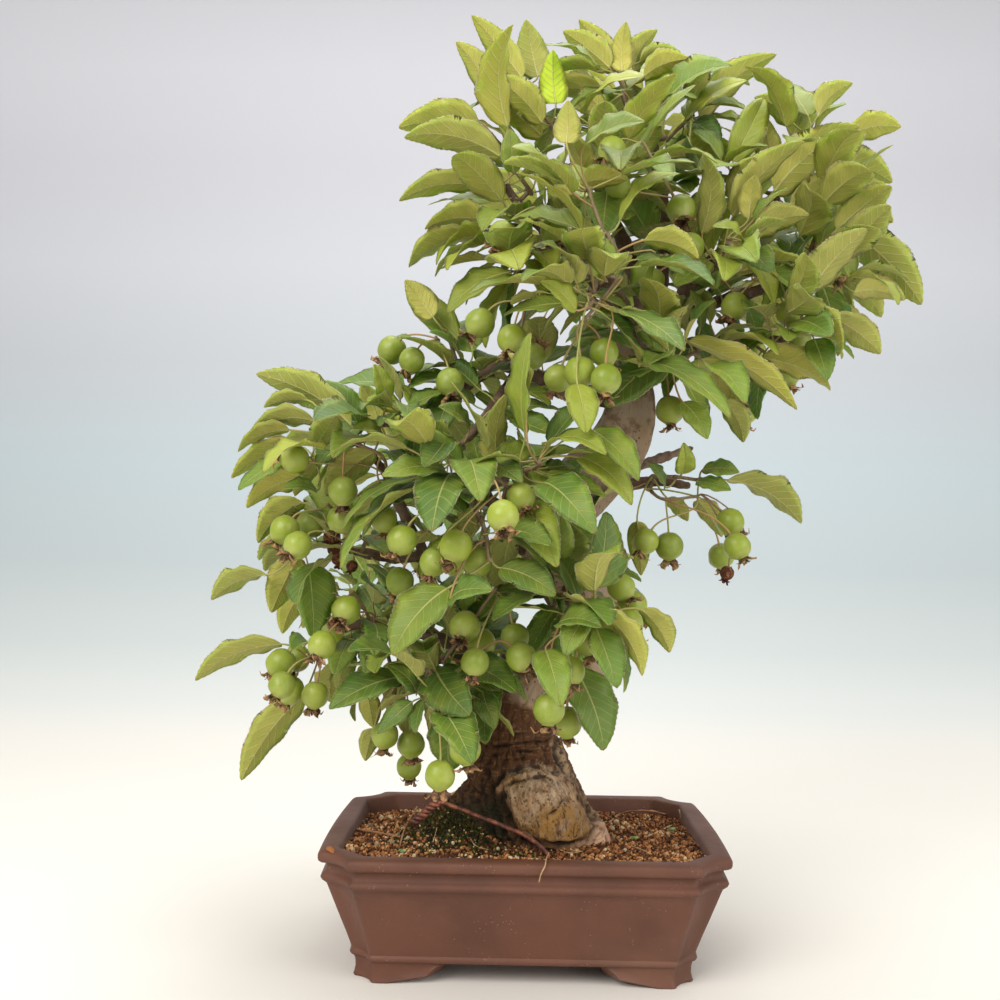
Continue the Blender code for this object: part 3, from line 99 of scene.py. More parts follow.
def seen_at(pixel_x, pixel_y, depth):
    """Place at this depth that the photograph shows at this pixel."""
    across = VIEW_RIGHT * ((pixel_x - VIEW_MIDDLE) / VIEW_FOCAL)
    down = VIEW_UP * ((pixel_y - VIEW_MIDDLE) / VIEW_FOCAL)
    ray = VIEW_FORWARD + across - down
    return VIEW_POINT + ray * ((depth - VIEW_POINT.y) / ray.y)


def pixel_of(place):
    """Pixel of the photograph at which a place shows."""
    ray = place - VIEW_POINT
    far = ray.dot(VIEW_FORWARD)
    return (
        VIEW_MIDDLE + VIEW_FOCAL * ray.dot(VIEW_RIGHT) / far,
        VIEW_MIDDLE - VIEW_FOCAL * ray.dot(VIEW_UP) / far,
    )


def in_metres(place):
    """A place in millimetres from the pot's foot, in the frame of the model."""
    return place * MM + POT_MIDDLE


def in_millimetres(place):
    """A place of the model, in millimetres from the middle of the pot's foot."""
    return (place - POT_MIDDLE) / MM


def put_in_scene(name, data):
    """A new object of the scene."""
    item = bpy.data.objects.new(name, data)
    bpy.context.scene.collection.objects.link(item)
    return item


camera = put_in_scene("camera", bpy.data.cameras.new("camera"))
camera.data.sensor_width = FILM_WIDTH
camera.data.lens = VIEW_FOCAL / FRAME_WIDTH * FILM_WIDTH
camera.data.clip_start = NEAREST_SEEN
aim = Matrix((VIEW_RIGHT, VIEW_UP, -VIEW_FORWARD)).transposed().to_4x4()
aim.translation = in_metres(VIEW_POINT)
camera.matrix_world = aim
bpy.context.scene.camera = camera

# Pot. Unglazed stoneware, pressed in a mould and fired to a matt purple-brown, with cut and
# scooped corners, a rounded lip, a band below it and a bead above four bracket feet.
POT_OUTSIDE = (
    (12.5, 98.0, 68.0, 12.5), (12.5, 103.9, 74.2, 13.6), (13.2, 105.2, 75.5, 14.2),
    (14.6, 106.0, 76.3, 14.5), (16.0, 105.7, 76.0, 14.3), (17.0, 104.9, 75.2, 13.9),
    (19.0, 105.5, 75.7, 14.1), (27.0, 108.3, 78.4, 15.2), (37.0, 112.1, 82.1, 16.8),
    (47.0, 115.8, 85.8, 18.4), (55.0, 118.7, 88.7, 19.6), (58.2, 119.9, 89.9, 20.0),
    (59.2, 121.0, 91.0, 20.5), (60.4, 122.5, 92.5, 21.2), (62.1, 123.3, 93.3, 21.6),
    (63.7, 122.7, 92.7, 21.4), (64.8, 121.2, 91.2, 20.8), (65.8, 120.2, 90.2, 20.1),
    (67.5, 120.0, 90.0, 20.0), (69.8, 120.3, 90.3, 20.2), (70.6, 121.2, 91.2, 20.6),
    (71.0, 123.4, 93.4, 21.4), (71.8, 124.6, 94.6, 21.9), (73.2, 125.0, 95.0, 22.0),
    (75.4, 125.0, 95.0, 22.0), (76.9, 124.4, 94.4, 21.7), (77.9, 123.0, 93.0, 21.1),
    (78.3, 121.2, 91.2, 20.4),
)
POT_INSIDE = (
    (78.3, 114.8, 84.8, 19.0), (77.9, 113.6, 83.6, 18.6), (76.8, 112.7, 82.7, 18.1),
    (70.0, 111.0, 81.0, 17.5), (45.0, 103.8, 73.8, 14.9), (22.0, 96.6, 66.6, 12.2),
    (20.5, 94.5, 64.5, 11.6),
)
EDGE_ROUND = 1.6
SIDE_BOW = 2.0
CORNER_SCOOP = 0.16
LONG_SIDE_STEPS = 22
SHORT_SIDE_STEPS = 16
FOOT_LEVELS = ((15.5, 103.6, 74.0, 13.5), (12.4, 103.6, 74.0, 13.5), (9.0, 102.7, 73.1, 13.3),
               (5.0, 102.6, 72.9, 13.2), (2.2, 103.2, 73.4, 13.4), (0.7, 103.8, 73.8, 13.6),
               (0.0, 103.3, 73.3, 13.4))
FOOT_WALL = 13.0
FOOT_INNER_LEVEL = (0, 103.3 - FOOT_WALL, 73.3 - FOOT_WALL, 13.4)
FOOT_INNER_SHARES = (0, 0.3, 1)
FOOT_SIDE_Y = 60
ARCH_TOP = 13.0
LONG_ARCH = (58.5, 41.0)
SHORT_ARCH = (36.0, 24.0)
DRAIN_X = 55.0
DRAIN_RADIUS = 10.0
DRAIN_SIDES = 40
DRAIN_CUT = (8, 30)
STONEWARE_BROWN = (0.130, 0.049, 0.028)
STONEWARE_DARK = (0.098, 0.038, 0.022)
STONEWARE_DUST = (0.24, 0.135, 0.090)
STONEWARE_SPECK = (0.42, 0.33, 0.27)


class Shade:
    """A value or colour over a surface, or over the points of a mesh, for use in sums."""

    def __init__(self, recipe, node, output):
        self.recipe = recipe
        self.node = node
        self.socket = node.outputs[output]

    def worked(self, operation, *values):
        return self.recipe.node("ShaderNodeMath", {"operation": operation}, dict(enumerate(values)))

    def __add__(self, other):
        return self.worked("ADD", self, other)

    def __sub__(self, other):
        return self.worked("SUBTRACT", self, other)

    def __rsub__(self, other):
        return self.worked("SUBTRACT", other, self)

    def __mul__(self, other):
        return self.worked("MULTIPLY", self, other)

    def __truediv__(self, other):
        return self.worked("DIVIDE", self, other)

    def __pow__(self, other):
        return self.worked("POWER", self, other)

    def __abs__(self):
        return self.worked("ABSOLUTE", self)

    __radd__ = __add__
    __rmul__ = __mul__

    def sine(self):
        return self.worked("SINE", self)

    def step(self, low, high, start=0.0, end=1.0):
        """This value from low to high, taken smoothly from start to end."""
        return self.recipe.node("ShaderNodeMapRange", {"interpolation_type": "SMOOTHSTEP"},
                                {0: self, 1: low, 2: high, 3: start, 4: end})


class Recipe:
    """Nodes of one material or of one way of growing a mesh."""

    def __init__(self, tree):
        self.tree = tree

    def fill(self, socket, value):
        """Links a worked-out value to a socket, or sets a plain value or colour in it."""
        if isinstance(value, Shade):
            self.tree.links.new(value.socket, socket)
        else:
            socket.default_value = (*value, 1) if socket.type == "RGBA" else value

    def node(self, kind, settings=None, inputs=None, output=0):
        node = self.tree.nodes.new(kind)
        for key, value in (settings or {}).items():
            setattr(node, key, value)
        for key, value in (inputs or {}).items():
            self.fill(node.inputs[key], value)
        return Shade(self, node, output)

    def vectors(self, operation, *values, output=0):
        """A sum on vectors."""
        return self.node("ShaderNodeVectorMath", {"operation": operation}, dict(enumerate(values)), output)

    def scaled(self, vector, factor):
        return self.node("ShaderNodeVectorMath", {"operation": "SCALE"}, {0: vector, 3: factor})

    def parts_of(self, vector):
        """The three numbers of a vector."""
        first = self.node("ShaderNodeSeparateXYZ", None, {0: vector})
        return first, Shade(self, first.node, 1), Shade(self, first.node, 2)

    def cloud(self, scale, where, detail=3.0, roughness=0.55, output=0):
        """Noise from 0 to 1, with about this many blotches to a metre."""
        return self.node("ShaderNodeTexNoise", None, {
            "Vector": where, "Scale": scale, "Detail": detail, "Roughness": roughness,
        }, output)

    def cells(self, scale, where, feature="F1"):
        """Distance to the nearest of scattered points, or to the edge between their cells."""
        return self.node("ShaderNodeTexVoronoi", {"feature": feature}, {"Vector": where, "Scale": scale})

    def mixed(self, share, first, second):
        """Colour from first to second as share goes from 0 to 1."""
        return self.node("ShaderNodeMix", {"data_type": "RGBA"}, {0: share, 6: first, 7: second}, 2)

    def layered(self, colour, *layers):
        """A colour with others laid over it, each after the share that it covers."""
        for share, other in layers:
            colour = self.mixed(share, colour, other)
        return colour


class Finish(Recipe):
    """Material whose colour, roughness and relief are worked out over the surface."""

    def __init__(self, name):
        self.material = bpy.data.materials.new(name)
        self.material.use_nodes = True
        super().__init__(self.material.node_tree)
        self.shader = self.tree.nodes["Principled BSDF"]

    def where(self, stretch=(1, 1, 1)):
        place = self.node("ShaderNodeTexCoord", None, None, 3)
        return self.node("ShaderNodeMapping", None, {"Vector": place, "Scale": stretch})

    def mark(self, name, output=2):
        """A value of the mesh: output 0 is a colour, 1 a direction and 2 a number."""
        return self.node("ShaderNodeAttribute", {"attribute_name": name}, None, output)

    def give(self, colour, roughness, relief=None, depth=0.001, **fixed):
        """Ends the finish, with its relief in metres and any fixed values."""
        if relief:
            fixed["Normal"] = self.node("ShaderNodeBump", None, {"Height": relief, "Distance": depth})
        for key, value in {"Base Color": colour, "Roughness": roughness, **fixed}.items():
            self.fill(self.shader.inputs[key.replace("_", " ")], value)


def turn_faces_out(mesh):
    work = bmesh.new()
    work.from_mesh(mesh)
    bmesh.ops.recalc_face_normals(work, faces=work.faces)
    work.to_mesh(mesh)
    work.free()


def shown_mesh(name, places, faces, finish):
    """Smooth object of places in millimetres, with its faces turned outwards."""
    mesh = bpy.data.meshes.new(name)
    mesh.from_pydata([in_metres(place) for place in places], [], faces)
    turn_faces_out(mesh)
    mesh.materials.append(finish.material)
    mesh.shade_smooth()
    return put_in_scene(name, mesh)


def clamped(value):
    return min(max(value, 0), 1)


def rounded_corner(before, corner, after):
    """Four places that round the corner of an outline."""
    reach = EDGE_ROUND * 1.2
    start = corner + (before - corner).normalized() * reach
    end = corner + (after - corner).normalized() * reach
    return [start.lerp(corner, t).lerp(corner.lerp(end, t), t) for t in (0, 1 / 3, 2 / 3, 1)]


def pot_outline(level, scoop, bow, long_stops, short_stops):
    """Outline at one height, anticlockwise from the middle of the right side."""
    height, half_length, half_depth, cut = level
    corners = []
    for sign_x, sign_y, turned in ((1, 1, False), (-1, 1, True), (-1, -1, False), (1, -1, True)):
        on_short = Vector((sign_x * half_length, sign_y * (half_depth - cut), height))
        on_long = Vector((sign_x * (half_length - cut), sign_y * half_depth, height))
        corners.append((on_long, on_short) if turned else (on_short, on_long))
    places = []
    for index, (first, second) in enumerate(corners):
        on_short_side = index % 2 == 0
        last_corner = corners[index - 1][1]
        start = rounded_corner(corners[index - 2][1], last_corner, first)[-1]
        near = rounded_corner(last_corner, first, second)
        far = rounded_corner(first, second, corners[(index + 1) % 4][0])
        outward = Vector((first.x + last_corner.x, 0, 0)).normalized() if on_short_side else Vector()
        for stop in short_stops if on_short_side else long_stops:
            places.append(start.lerp(near[0], stop) + outward * (bow * (1 - (2 * stop - 1) ** 2)))
        inward = Vector((-first.x - second.x, -first.y - second.y, 0)).normalized()
        places.extend(near)
        for t in (step / 8 for step in range(1, 8)):
            places.append(near[-1].lerp(far[0], t) + inward * (scoop * cut * 4 * t * (1 - t)))
        places.extend(far)
    return places


def even_stops(count):
    return [(index + 1) / (count + 1) for index in range(count)]


def joined_rings(rings, looped=False):
    """Faces between rings of equal count: looped, or closed round a middle point at both ends."""
    places = [place for ring in rings for place in ring]
    count = len(rings[0])
    faces = []
    for row in range(len(rings) if looped else len(rings) - 1):
        near, far = row * count, (row + 1) % len(rings) * count
        for k in range(count):
            after = (k + 1) % count
            faces.append((near + k, near + after, far + after, far + k))
    for row in () if looped else (0, len(rings) - 1):
        middle = len(places)
        places.append(sum(rings[row], Vector()) / count)
        for k in range(count):
            faces.append((row * count + k, row * count + (k + 1) % count, middle))
    return places, faces


def foot_arch_height(place):
    """Height of the arch between two feet over a place of the foot's outline."""
    on_long_side = abs(place.y) > FOOT_SIDE_Y
    across = abs(place.x) if on_long_side else abs(place.y)
    at_floor, at_top = LONG_ARCH if on_long_side else SHORT_ARCH
    return ARCH_TOP * math.sqrt(1 - clamped((across - at_top) / (at_floor - at_top)) ** 2)


def arch_stops(arch, half_side):
    """Shares of a side at which the foot's arch bends, close together where it is steep."""
    at_floor, at_top = arch
    bends = [at_top + (at_floor - at_top) * math.sin(math.radians(turn)) for turn in range(0, 91, 9)]
    across = [-half_side * 0.93, *[-bend for bend in reversed(bends)],
              *[at_top * step / 6 for step in range(-5, 6)], *bends, half_side * 0.93]
    return [(place / half_side + 1) / 2 for place in across]


clay = Finish("stoneware")
grain = clay.where()
mottle = clay.cloud(22, grain, 4)
drift = clay.cloud(6, clay.where((1, 1, 2.5)), 2)
speck = clay.cells(420, grain).step(0.09, 0.16, 1, 0)
thinned = clay.cloud(60, grain, 1).step(0.52, 0.62)
fine = clay.cloud(900, grain, 2)
clay_colour = clay.layered(
    clay.mixed(mottle.step(0.35, 0.7), STONEWARE_BROWN, STONEWARE_DARK),
    (drift.step(0.5, 0.8) * 0.35, STONEWARE_DUST),
    (speck * thinned * 0.5, STONEWARE_SPECK),
)
clay.give(clay_colour, mottle.step(0.2, 0.8, 0.5, 0.66), fine * 0.35 + clay.cloud(160, grain, 3), 0.0004,
          Specular_IOR_Level=0.4)

pot_stops = (even_stops(LONG_SIDE_STEPS), even_stops(SHORT_SIDE_STEPS))
pot_rings = [pot_outline(level, CORNER_SCOOP, SIDE_BOW, *pot_stops) for level in POT_OUTSIDE]
pot_rings += [pot_outline(level, 0, 0, *pot_stops) for level in POT_INSIDE]
pot = shown_mesh("pot_stoneware", *joined_rings(pot_rings), clay)

_, foot_half_length, foot_half_depth, foot_cut = FOOT_LEVELS[-1]
foot_stops = (
    arch_stops(LONG_ARCH, foot_half_length - foot_cut), arch_stops(SHORT_ARCH, foot_half_depth - foot_cut),
)
foot_top = FOOT_LEVELS[0][0]
arch_heights = [
    foot_arch_height(place) for place in pot_outline(FOOT_LEVELS[0], CORNER_SCOOP, 0, *foot_stops)
]
foot_rings = [pot_outline(level, CORNER_SCOOP, 0, *foot_stops) for level in FOOT_LEVELS]
for ring in foot_rings:
    for place, lowest in zip(ring, arch_heights):
        place.z = lowest + (foot_top - lowest) * place.z / foot_top
for share in FOOT_INNER_SHARES:
    ring = pot_outline(FOOT_INNER_LEVEL, CORNER_SCOOP, 0, *foot_stops)
    for place, lowest in zip(ring, arch_heights):
        place.z = lowest + (foot_top - lowest) * share
    foot_rings.append(ring)
feet = shown_mesh("feet", *joined_rings(foot_rings, True), clay)


def drain_cutter(middle_x):
    rings = [
        [Vector((middle_x + DRAIN_RADIUS * math.cos(math.tau * k / DRAIN_SIDES),
                 DRAIN_RADIUS * math.sin(math.tau * k / DRAIN_SIDES), level)) for k in range(DRAIN_SIDES)]
        for level in DRAIN_CUT
    ]
    return shown_mesh("drain", *joined_rings(rings), clay)


def make_plain(item):
    """Turns an object with modifiers into a plain mesh."""
    result = bpy.data.meshes.new_from_object(item.evaluated_get(bpy.context.evaluated_depsgraph_get()))
    item.modifiers.clear()
    item.data = result


def joined_by(item, operation, *others):
    """One Boolean with each of the others, applied, with the others removed."""
    for other in others:
        change = item.modifiers.new("join", "BOOLEAN")
        change.operation = operation
        change.object = other
        change.solver = "MANIFOLD"
    make_plain(item)
    for other in others:
        bpy.data.objects.remove(other)


joined_by(pot, "UNION", feet)
joined_by(pot, "DIFFERENCE", drain_cutter(-DRAIN_X), drain_cutter(DRAIN_X))
pot.data.shade_smooth()
pot.data.set_sharp_from_angle(angle=math.radians(50))
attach(pot, "root")
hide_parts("pot")

# Drain screen. A strip of black plastic mesh that lies over both drain holes and keeps the
# soil in. It is seen only from below, through the holes.
NET_THREADS = 3141
NET_BLACK = (0.012, 0.012, 0.012)
NET_GREY = (0.05, 0.05, 0.048)

netting = Finish("drain_netting")
across, along, _ = netting.parts_of(netting.where())
weave = (across * NET_THREADS).sine() * (along * NET_THREADS).sine()
netting.give(netting.mixed(weave.step(-0.2, 0.3), NET_BLACK, NET_GREY), weave.step(-1, 1, 0.45, 0.7),
             weave, 0.0006)
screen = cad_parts["drain_screen"]
for place_for_finish in screen.material_slots:
    place_for_finish.link = "OBJECT"
    place_for_finish.material = netting.material

# Soil. Red-brown baked clay granules fill the pot to just under its lip and rise to a mound
# beside the trunk. The bed is one dark body, and loose granules of three shapes cover it.
SOIL_LEVEL = 71.5
SOIL_FALL = 0.05
MOUND_HEIGHT = 26.0
MOUND_CENTRE = (-36.0, -4.0)
MOUND_SPREAD = (33.0, 38.0)
BED_RINGS = 44
BED_FLOOR = 20.9
BED_CLEARANCE = 0.4
GRANULE_COUNT = 9600
GRANULE_SIZES = (0.5, 1.7)
SOIL_BROWN = (0.100, 0.038, 0.016)
SOIL_SHADE = (0.030, 0.013, 0.007)
SOIL_RED = (0.15, 0.060, 0.023)
SOIL_MOSSY = (0.014, 0.013, 0.005)
GRANULE_BROWN = (0.075, 0.028, 0.012)
GRANULE_RED = (0.27, 0.105, 0.036)
GRANULE_OCHRE = (0.50, 0.24, 0.09)
GRANULE_PALE = (0.66, 0.50, 0.30)
GRANULE_LICHEN = (0.52, 0.46, 0.19)
GRANULE_MOSSY = (0.016, 0.013, 0.005)
GRANULE_GRIT = (0.14, 0.06, 0.028)


def soil_height(x, y):
    """Height of the soil, which falls to the back and rises to a mound beside the trunk."""
    off_x = (x - MOUND_CENTRE[0]) / MOUND_SPREAD[0]
    off_y = (y - MOUND_CENTRE[1]) / MOUND_SPREAD[1]
    return SOIL_LEVEL - SOIL_FALL * y + MOUND_HEIGHT * math.exp(-off_x ** 2 - off_y ** 2)


def bell(distance, reach):
    return math.exp(-(distance / reach) ** 2)


def moss_share(x, y):
    """How much of the soil moss covers at a place on the mound."""
    away = math.hypot((x - MOUND_CENTRE[0]) / 44, (y - MOUND_CENTRE[1] + 14) / 46)
    return clamped(1.5 * bell(away, 1.0) - 0.2 + 0.5 * noise.noise(Vector((x, y, 2)) * 0.07))


def bed_outline(height):
    """Inside outline of the pot at a height, a hair clear of the wall."""
    levels = sorted(POT_INSIDE)
    for low, high in zip(levels, levels[1:]):
        if low[0] <= height <= high[0]:
            share = (height - low[0]) / (high[0] - low[0])
            level = [a + (b - a) * share for a, b in zip(low, high)]
            level[1] -= BED_CLEARANCE
            level[2] -= BED_CLEARANCE
            return pot_outline(level, 0, 0, even_stops(40), even_stops(28))
    raise ValueError("height outside the pot")


def set_values(mesh, name, values, kind="FLOAT", domain="POINT"):
    """Gives each point or face of a mesh a number, a direction, or a yes or no."""
    attribute = mesh.attributes.new(name, kind, domain)
    if kind == "FLOAT_VECTOR":
        attribute.data.foreach_set("vector", [part for value in values for part in value])
    else:
        attribute.data.foreach_set("value", values)


soil_finish = Finish("soil_bed")
where = soil_finish.where()
clods = soil_finish.cells(330, where)
damp = soil_finish.cloud(60, where, 3)
soil_colour = soil_finish.layered(
    soil_finish.mixed(clods.step(0.1, 0.6), SOIL_BROWN, SOIL_SHADE),
    (damp.step(0.4, 0.7) * 0.6, SOIL_RED),
    (soil_finish.mark("mossy").step(0.2, 0.6), SOIL_MOSSY),
)
soil_finish.give(soil_colour, 0.95, clods * -1.0 + damp, 0.0016, Specular_IOR_Level=0.2)

rim = bed_outline(SOIL_LEVEL + 2)
bed_rings = [bed_outline(BED_FLOOR), bed_outline(45)]
for index in range(BED_RINGS):
    share = 1 - index / BED_RINGS
    ring = []
    for place in rim:
        x, y = place.x * share, place.y * share
        bump = noise.noise(Vector((x, y, 0)) * 0.22) * 0.9 + noise.noise(Vector((x, y, 7)) * 0.6) * 0.5
        ring.append(Vector((x, y, soil_height(x, y) - 0.9 + bump)))
    bed_rings.append(ring)
bed_places, bed_faces = joined_rings(bed_rings)
bed = shown_mesh("soil_bed", bed_places, bed_faces, soil_finish)
set_values(bed.data, "mossy", [moss_share(place.x, place.y) for place in bed_places])
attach(bed, "root")
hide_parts("soil")


class Growth(Recipe):
    """A tree of geometry nodes with named inputs, which turns points and lines into a mesh."""

    def __init__(self, name, inputs):
        tree = bpy.data.node_groups.new(name, "GeometryNodeTree")
        tree.interface.new_socket("Seedling", in_out="INPUT", socket_type="NodeSocketGeometry")
        self.identifiers = {}
        for title, kind in inputs.items():
            socket = tree.interface.new_socket(title, in_out="INPUT", socket_type="NodeSocket" + kind)
            self.identifiers[title] = socket.identifier
        tree.interface.new_socket("Grown", in_out="OUTPUT", socket_type="NodeSocketGeometry")
        super().__init__(tree)
        self.entry = tree.nodes.new("NodeGroupInput")
        self.result = tree.nodes.new("NodeGroupOutput")

    def given(self, title):
        return Shade(self, self.entry, title)

    def value(self, name, kind="FLOAT"):
        return self.node("GeometryNodeInputNamedAttribute", {"data_type": kind}, {0: name})

    def end(self, shape):
        self.tree.links.new(shape.socket, self.result.inputs["Grown"])

    def grow(self, name, seedling, **values):
        """Plain mesh object that this tree makes of a mesh of points and lines."""
        item = put_in_scene(name, seedling)
        change = item.modifiers.new("growth", "NODES")
        change.node_group = self.tree
        for title, value in values.items():
            change[self.identifiers[title.replace("_", " ")]] = value
        make_plain(item)
        item.data.name = name
        return item

    def set_out(self, title, **inputs):
        """The shape of this input, one for each point of the seedling, as plain mesh."""
        shape = self.node("GeometryNodeObjectInfo", None, {0: self.given(title)}, "Geometry")
        instances = self.node("GeometryNodeInstanceOnPoints", None, {
            "Points": self.given("Seedling"), "Instance": shape, **inputs,
        })
        return self.node("GeometryNodeRealizeInstances", None, {0: instances})

    def finished(self, shape, title):
        """The shape with the material of this input."""
        return self.node("GeometryNodeSetMaterial", None, {0: shape, 2: self.given(title)})

    def tubes(self, sides, title):
        """Round bodies along the lines of the seedling, as thick as each point says."""
        curve = self.node("GeometryNodeMeshToCurve", None, {0: self.given("Seedling")})
        circle = self.node("GeometryNodeCurvePrimitiveCircle", None, {0: self.given(sides), 4: 1.0})
        body = self.node("GeometryNodeCurveToMesh", None, {
            "Curve": curve, "Profile Curve": circle, "Scale": self.value("thick"), "Fill Caps": True,
        })
        return self.finished(self.node("GeometryNodeSetShadeSmooth", None, {0: body}), title)

    def moved(self, place, *pushes):
        """A place pushed along each of these ways, by the amount given with the way."""
        for way, amount in pushes:
            place = self.vectors("ADD", place, self.scaled(way, amount))
        return place

    def end_on_stalks(self, shape, place, title):
        """Ends the tree with a shape bent to its places, and the stalks and twigs that carry it."""
        bent = self.node("GeometryNodeSetPosition", None, {0: shape, "Position": place})
        both = self.node("GeometryNodeJoinGeometry", None, {0: self.finished(bent, title)})
        self.tree.links.new(self.tubes("Stalk sides", "Twig finish").socket, both.node.inputs[0])
        self.end(self.node("GeometryNodeRealizeInstances", None, {0: both}))


def scatter_growth():
    """Sets a shape at each point, turned and sized as the point says."""
    growth = Growth("scatter_growth", {"Shape": "Object", "Finish": "Material"})
    turned = growth.node("FunctionNodeEulerToRotation", None, {0: growth.value("turn", "FLOAT_VECTOR")})
    loose = growth.set_out("Shape", Rotation=turned, Scale=growth.value("size", "FLOAT_VECTOR"))
    growth.end(growth.finished(loose, "Finish"))
    return growth


def scattered(name, shape, finish, spots):
    """Shapes set at spots, each given as place, turn, size and tone."""
    places, turns, sizes, tones = zip(*spots)
    mesh = bpy.data.meshes.new(name)
    mesh.from_pydata([in_metres(place) for place in places], [], [])
    set_values(mesh, "turn", turns, "FLOAT_VECTOR")
    set_values(mesh, "size", [[part * MM for part in size] for size in sizes], "FLOAT_VECTOR")
    set_values(mesh, "tone", tones)
    return scatter.grow(name, mesh, Shape=shape, Finish=finish.material)


def pebble_shape(name, seed, flatness):
    """An angular lump of 20 faces."""
    work = bmesh.new()
    bmesh.ops.create_icosphere(work, subdivisions=1, radius=1.0)
    rng = random.Random(seed)
    for vertex in work.verts:
        vertex.co *= rng.uniform(0.78, 1.15)
        vertex.co.z *= flatness
    mesh = bpy.data.meshes.new(name)
    work.to_mesh(mesh)
    work.free()
    return bpy.data.objects.new(name, mesh)


def soil_spot(rng):
    """A place on the bed, at random."""
    while True:
        x, y = rng.uniform(-111, 111), rng.uniform(-81, 81)
        if abs(x) + abs(y) < 171:
            return x, y


scatter = scatter_growth()
granule_finish = Finish("clay_granules")
tone = granule_finish.mark("tone")
grit = granule_finish.cloud(900, granule_finish.where(), 2)
granule_colour = granule_finish.layered(
    GRANULE_MOSSY,
    (tone.step(-0.3, 0.0), GRANULE_BROWN),
    (tone.step(0.0, 0.45), GRANULE_RED),
    (tone.step(0.45, 0.85), GRANULE_OCHRE),
    (tone.step(0.90, 0.99), GRANULE_PALE),
    (tone.step(1.0, 1.1), GRANULE_LICHEN),
    (grit.step(0.45, 0.8) * 0.5, GRANULE_GRIT),
)
granule_finish.give(granule_colour, 0.92, grit, 0.0004, Specular_IOR_Level=0.25)

rng = random.Random(31)
spots = []
for _ in range(GRANULE_COUNT):
    x, y = soil_spot(rng)
    size = rng.uniform(*GRANULE_SIZES) * (0.6 if rng.random() < 0.55 else 1.0)
    patch = noise.noise(Vector((x, y, 5)) * 0.06)
    tone = clamped(rng.random() ** 1.15 + 0.6 * patch - 0.06)
    if rng.random() < moss_share(x, y):
        tone = 1.1 if rng.random() < 0.09 else -0.3 * rng.random()
        size *= 0.75
    spots.append((
        Vector((x, y, soil_height(x, y) + rng.uniform(-0.8, 0.7))),
        [rng.uniform(0, math.tau) for _ in range(3)],
        [size * rng.uniform(0.8, 1.2) for _ in range(3)],
        tone,
    ))
third = len(spots) // 3
for index, flatness in enumerate((0.85, 0.7, 0.95)):
    shape = pebble_shape(f"granule_{index}", 40 + index, flatness)
    granules = scattered(f"clay_granules_{index + 1}", shape, granule_finish,
                         spots[index * third:(index + 1) * third if index < 2 else None])
    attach(granules, "root")

# Moss. Dark moss with a few pale tips that covers the mound beside the trunk, where water
# runs down. It is made of single tufts of short pointed blades that sit on the soil.
MOSS_COUNT = 3000
MOSS_TUFT_BLADES = 5
MOSS_DARK = (0.014, 0.018, 0.005)
MOSS_GREEN = (0.075, 0.080, 0.014)
MOSS_TIP = (0.36, 0.33, 0.13)


def tuft_shape(name, seed, blades, spread):
    """A tuft of short pointed blades that grow from one place."""
    rng = random.Random(seed)
    places = []
    faces = []
    for _ in range(blades):
        turn, lean = rng.uniform(0, math.tau), rng.uniform(0.1, spread)
        tip = Vector((math.cos(turn) * lean, math.sin(turn) * lean, rng.uniform(0.7, 1.2)))
        first = len(places)
        for k in range(3):
            way = turn + math.tau * k / 3
            places.append(Vector((0.16 * math.cos(way), 0.16 * math.sin(way), -0.3)) + tip * 0.12)
        places.append(tip)
        faces += [(first, first + 1, first + 3), (first + 1, first + 2, first + 3),
                  (first + 2, first, first + 3), (first, first + 2, first + 1)]
    mesh = bpy.data.meshes.new(name)
    mesh.from_pydata(places, [], faces)
    return bpy.data.objects.new(name, mesh)


moss = Finish("moss")
tone = moss.mark("tone")
moss_colour = moss.layered(MOSS_DARK, (tone.step(0, 0.7), MOSS_GREEN), (tone.step(0.93, 0.99), MOSS_TIP))
moss.give(moss_colour, 0.9, moss.cloud(1200, moss.where(), 1), 0.0003, Specular_IOR_Level=0.2)
rng = random.Random(53)
spots = []
while len(spots) < MOSS_COUNT:
    x, y = soil_spot(rng)
    if rng.random() > moss_share(x, y):
        continue
    size = rng.uniform(1.0, 2.2)
    spots.append((
        Vector((x, y, soil_height(x, y) - 0.4)),
        (rng.uniform(-0.3, 0.3), rng.uniform(-0.3, 0.3), rng.uniform(0, 6)),
        (size, size, size * rng.uniform(0.6, 1.1)),
        rng.random(),
    ))
moss_piece = scattered("moss", tuft_shape("moss_tuft", 3, MOSS_TUFT_BLADES, 0.7), moss, spots)
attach(moss_piece, "root")

# Trunk. Old living wood that swells over its roots and climbs in a double bend. Its bark is
# red-brown and flaking at the foot, tan over the knee in front, and grey and smooth higher up.
TRUNK_SIDES = 164
FRONT_SHARE = 0.08
TRUNK_STEP = 1.7
TRUNK_LINE = (
    (-5, -2, 118, 35), (-9, 0, 134, 30), (-9, 0, 150, 27), (-3, 0, 167, 26), (13, 0, 180, 25.5),
    (33, 0, 188, 25), (46, 0, 202, 24), (43, 0, 222, 23), (29, 0, 244, 23), (18, 0, 265, 22.5),
    (20, 0, 285, 22), (37, 0, 305, 21.5), (57, 0, 328, 20), (67, 0, 352, 18), (67, 0, 376, 16.5),
    (72, 0, 398, 14), (81, 0, 416, 10), (88, 0, 428, 7),
)
FLARE_RADIUS = 42.0
FLARE_CENTRE = (2.0, -5.0)
FLARE_ROOTS = ((-8, 17, 12), (-62, 30, 5), (178, 34, 10), (120, 22, 5), (58, 20, 3))
FLARE_RINGS = 62
LOBE_DIRECTION = -58
LOBE_WIDTH = 34
LOBE_BULGE = 12.0
BURIED_FOOT = 42.4
PIXELS_PER_MM = 1.49
# Part of the photograph, from x to x and below y, in which the folds and the lobe show
FOLDS_SEEN = (430, 640, 690)
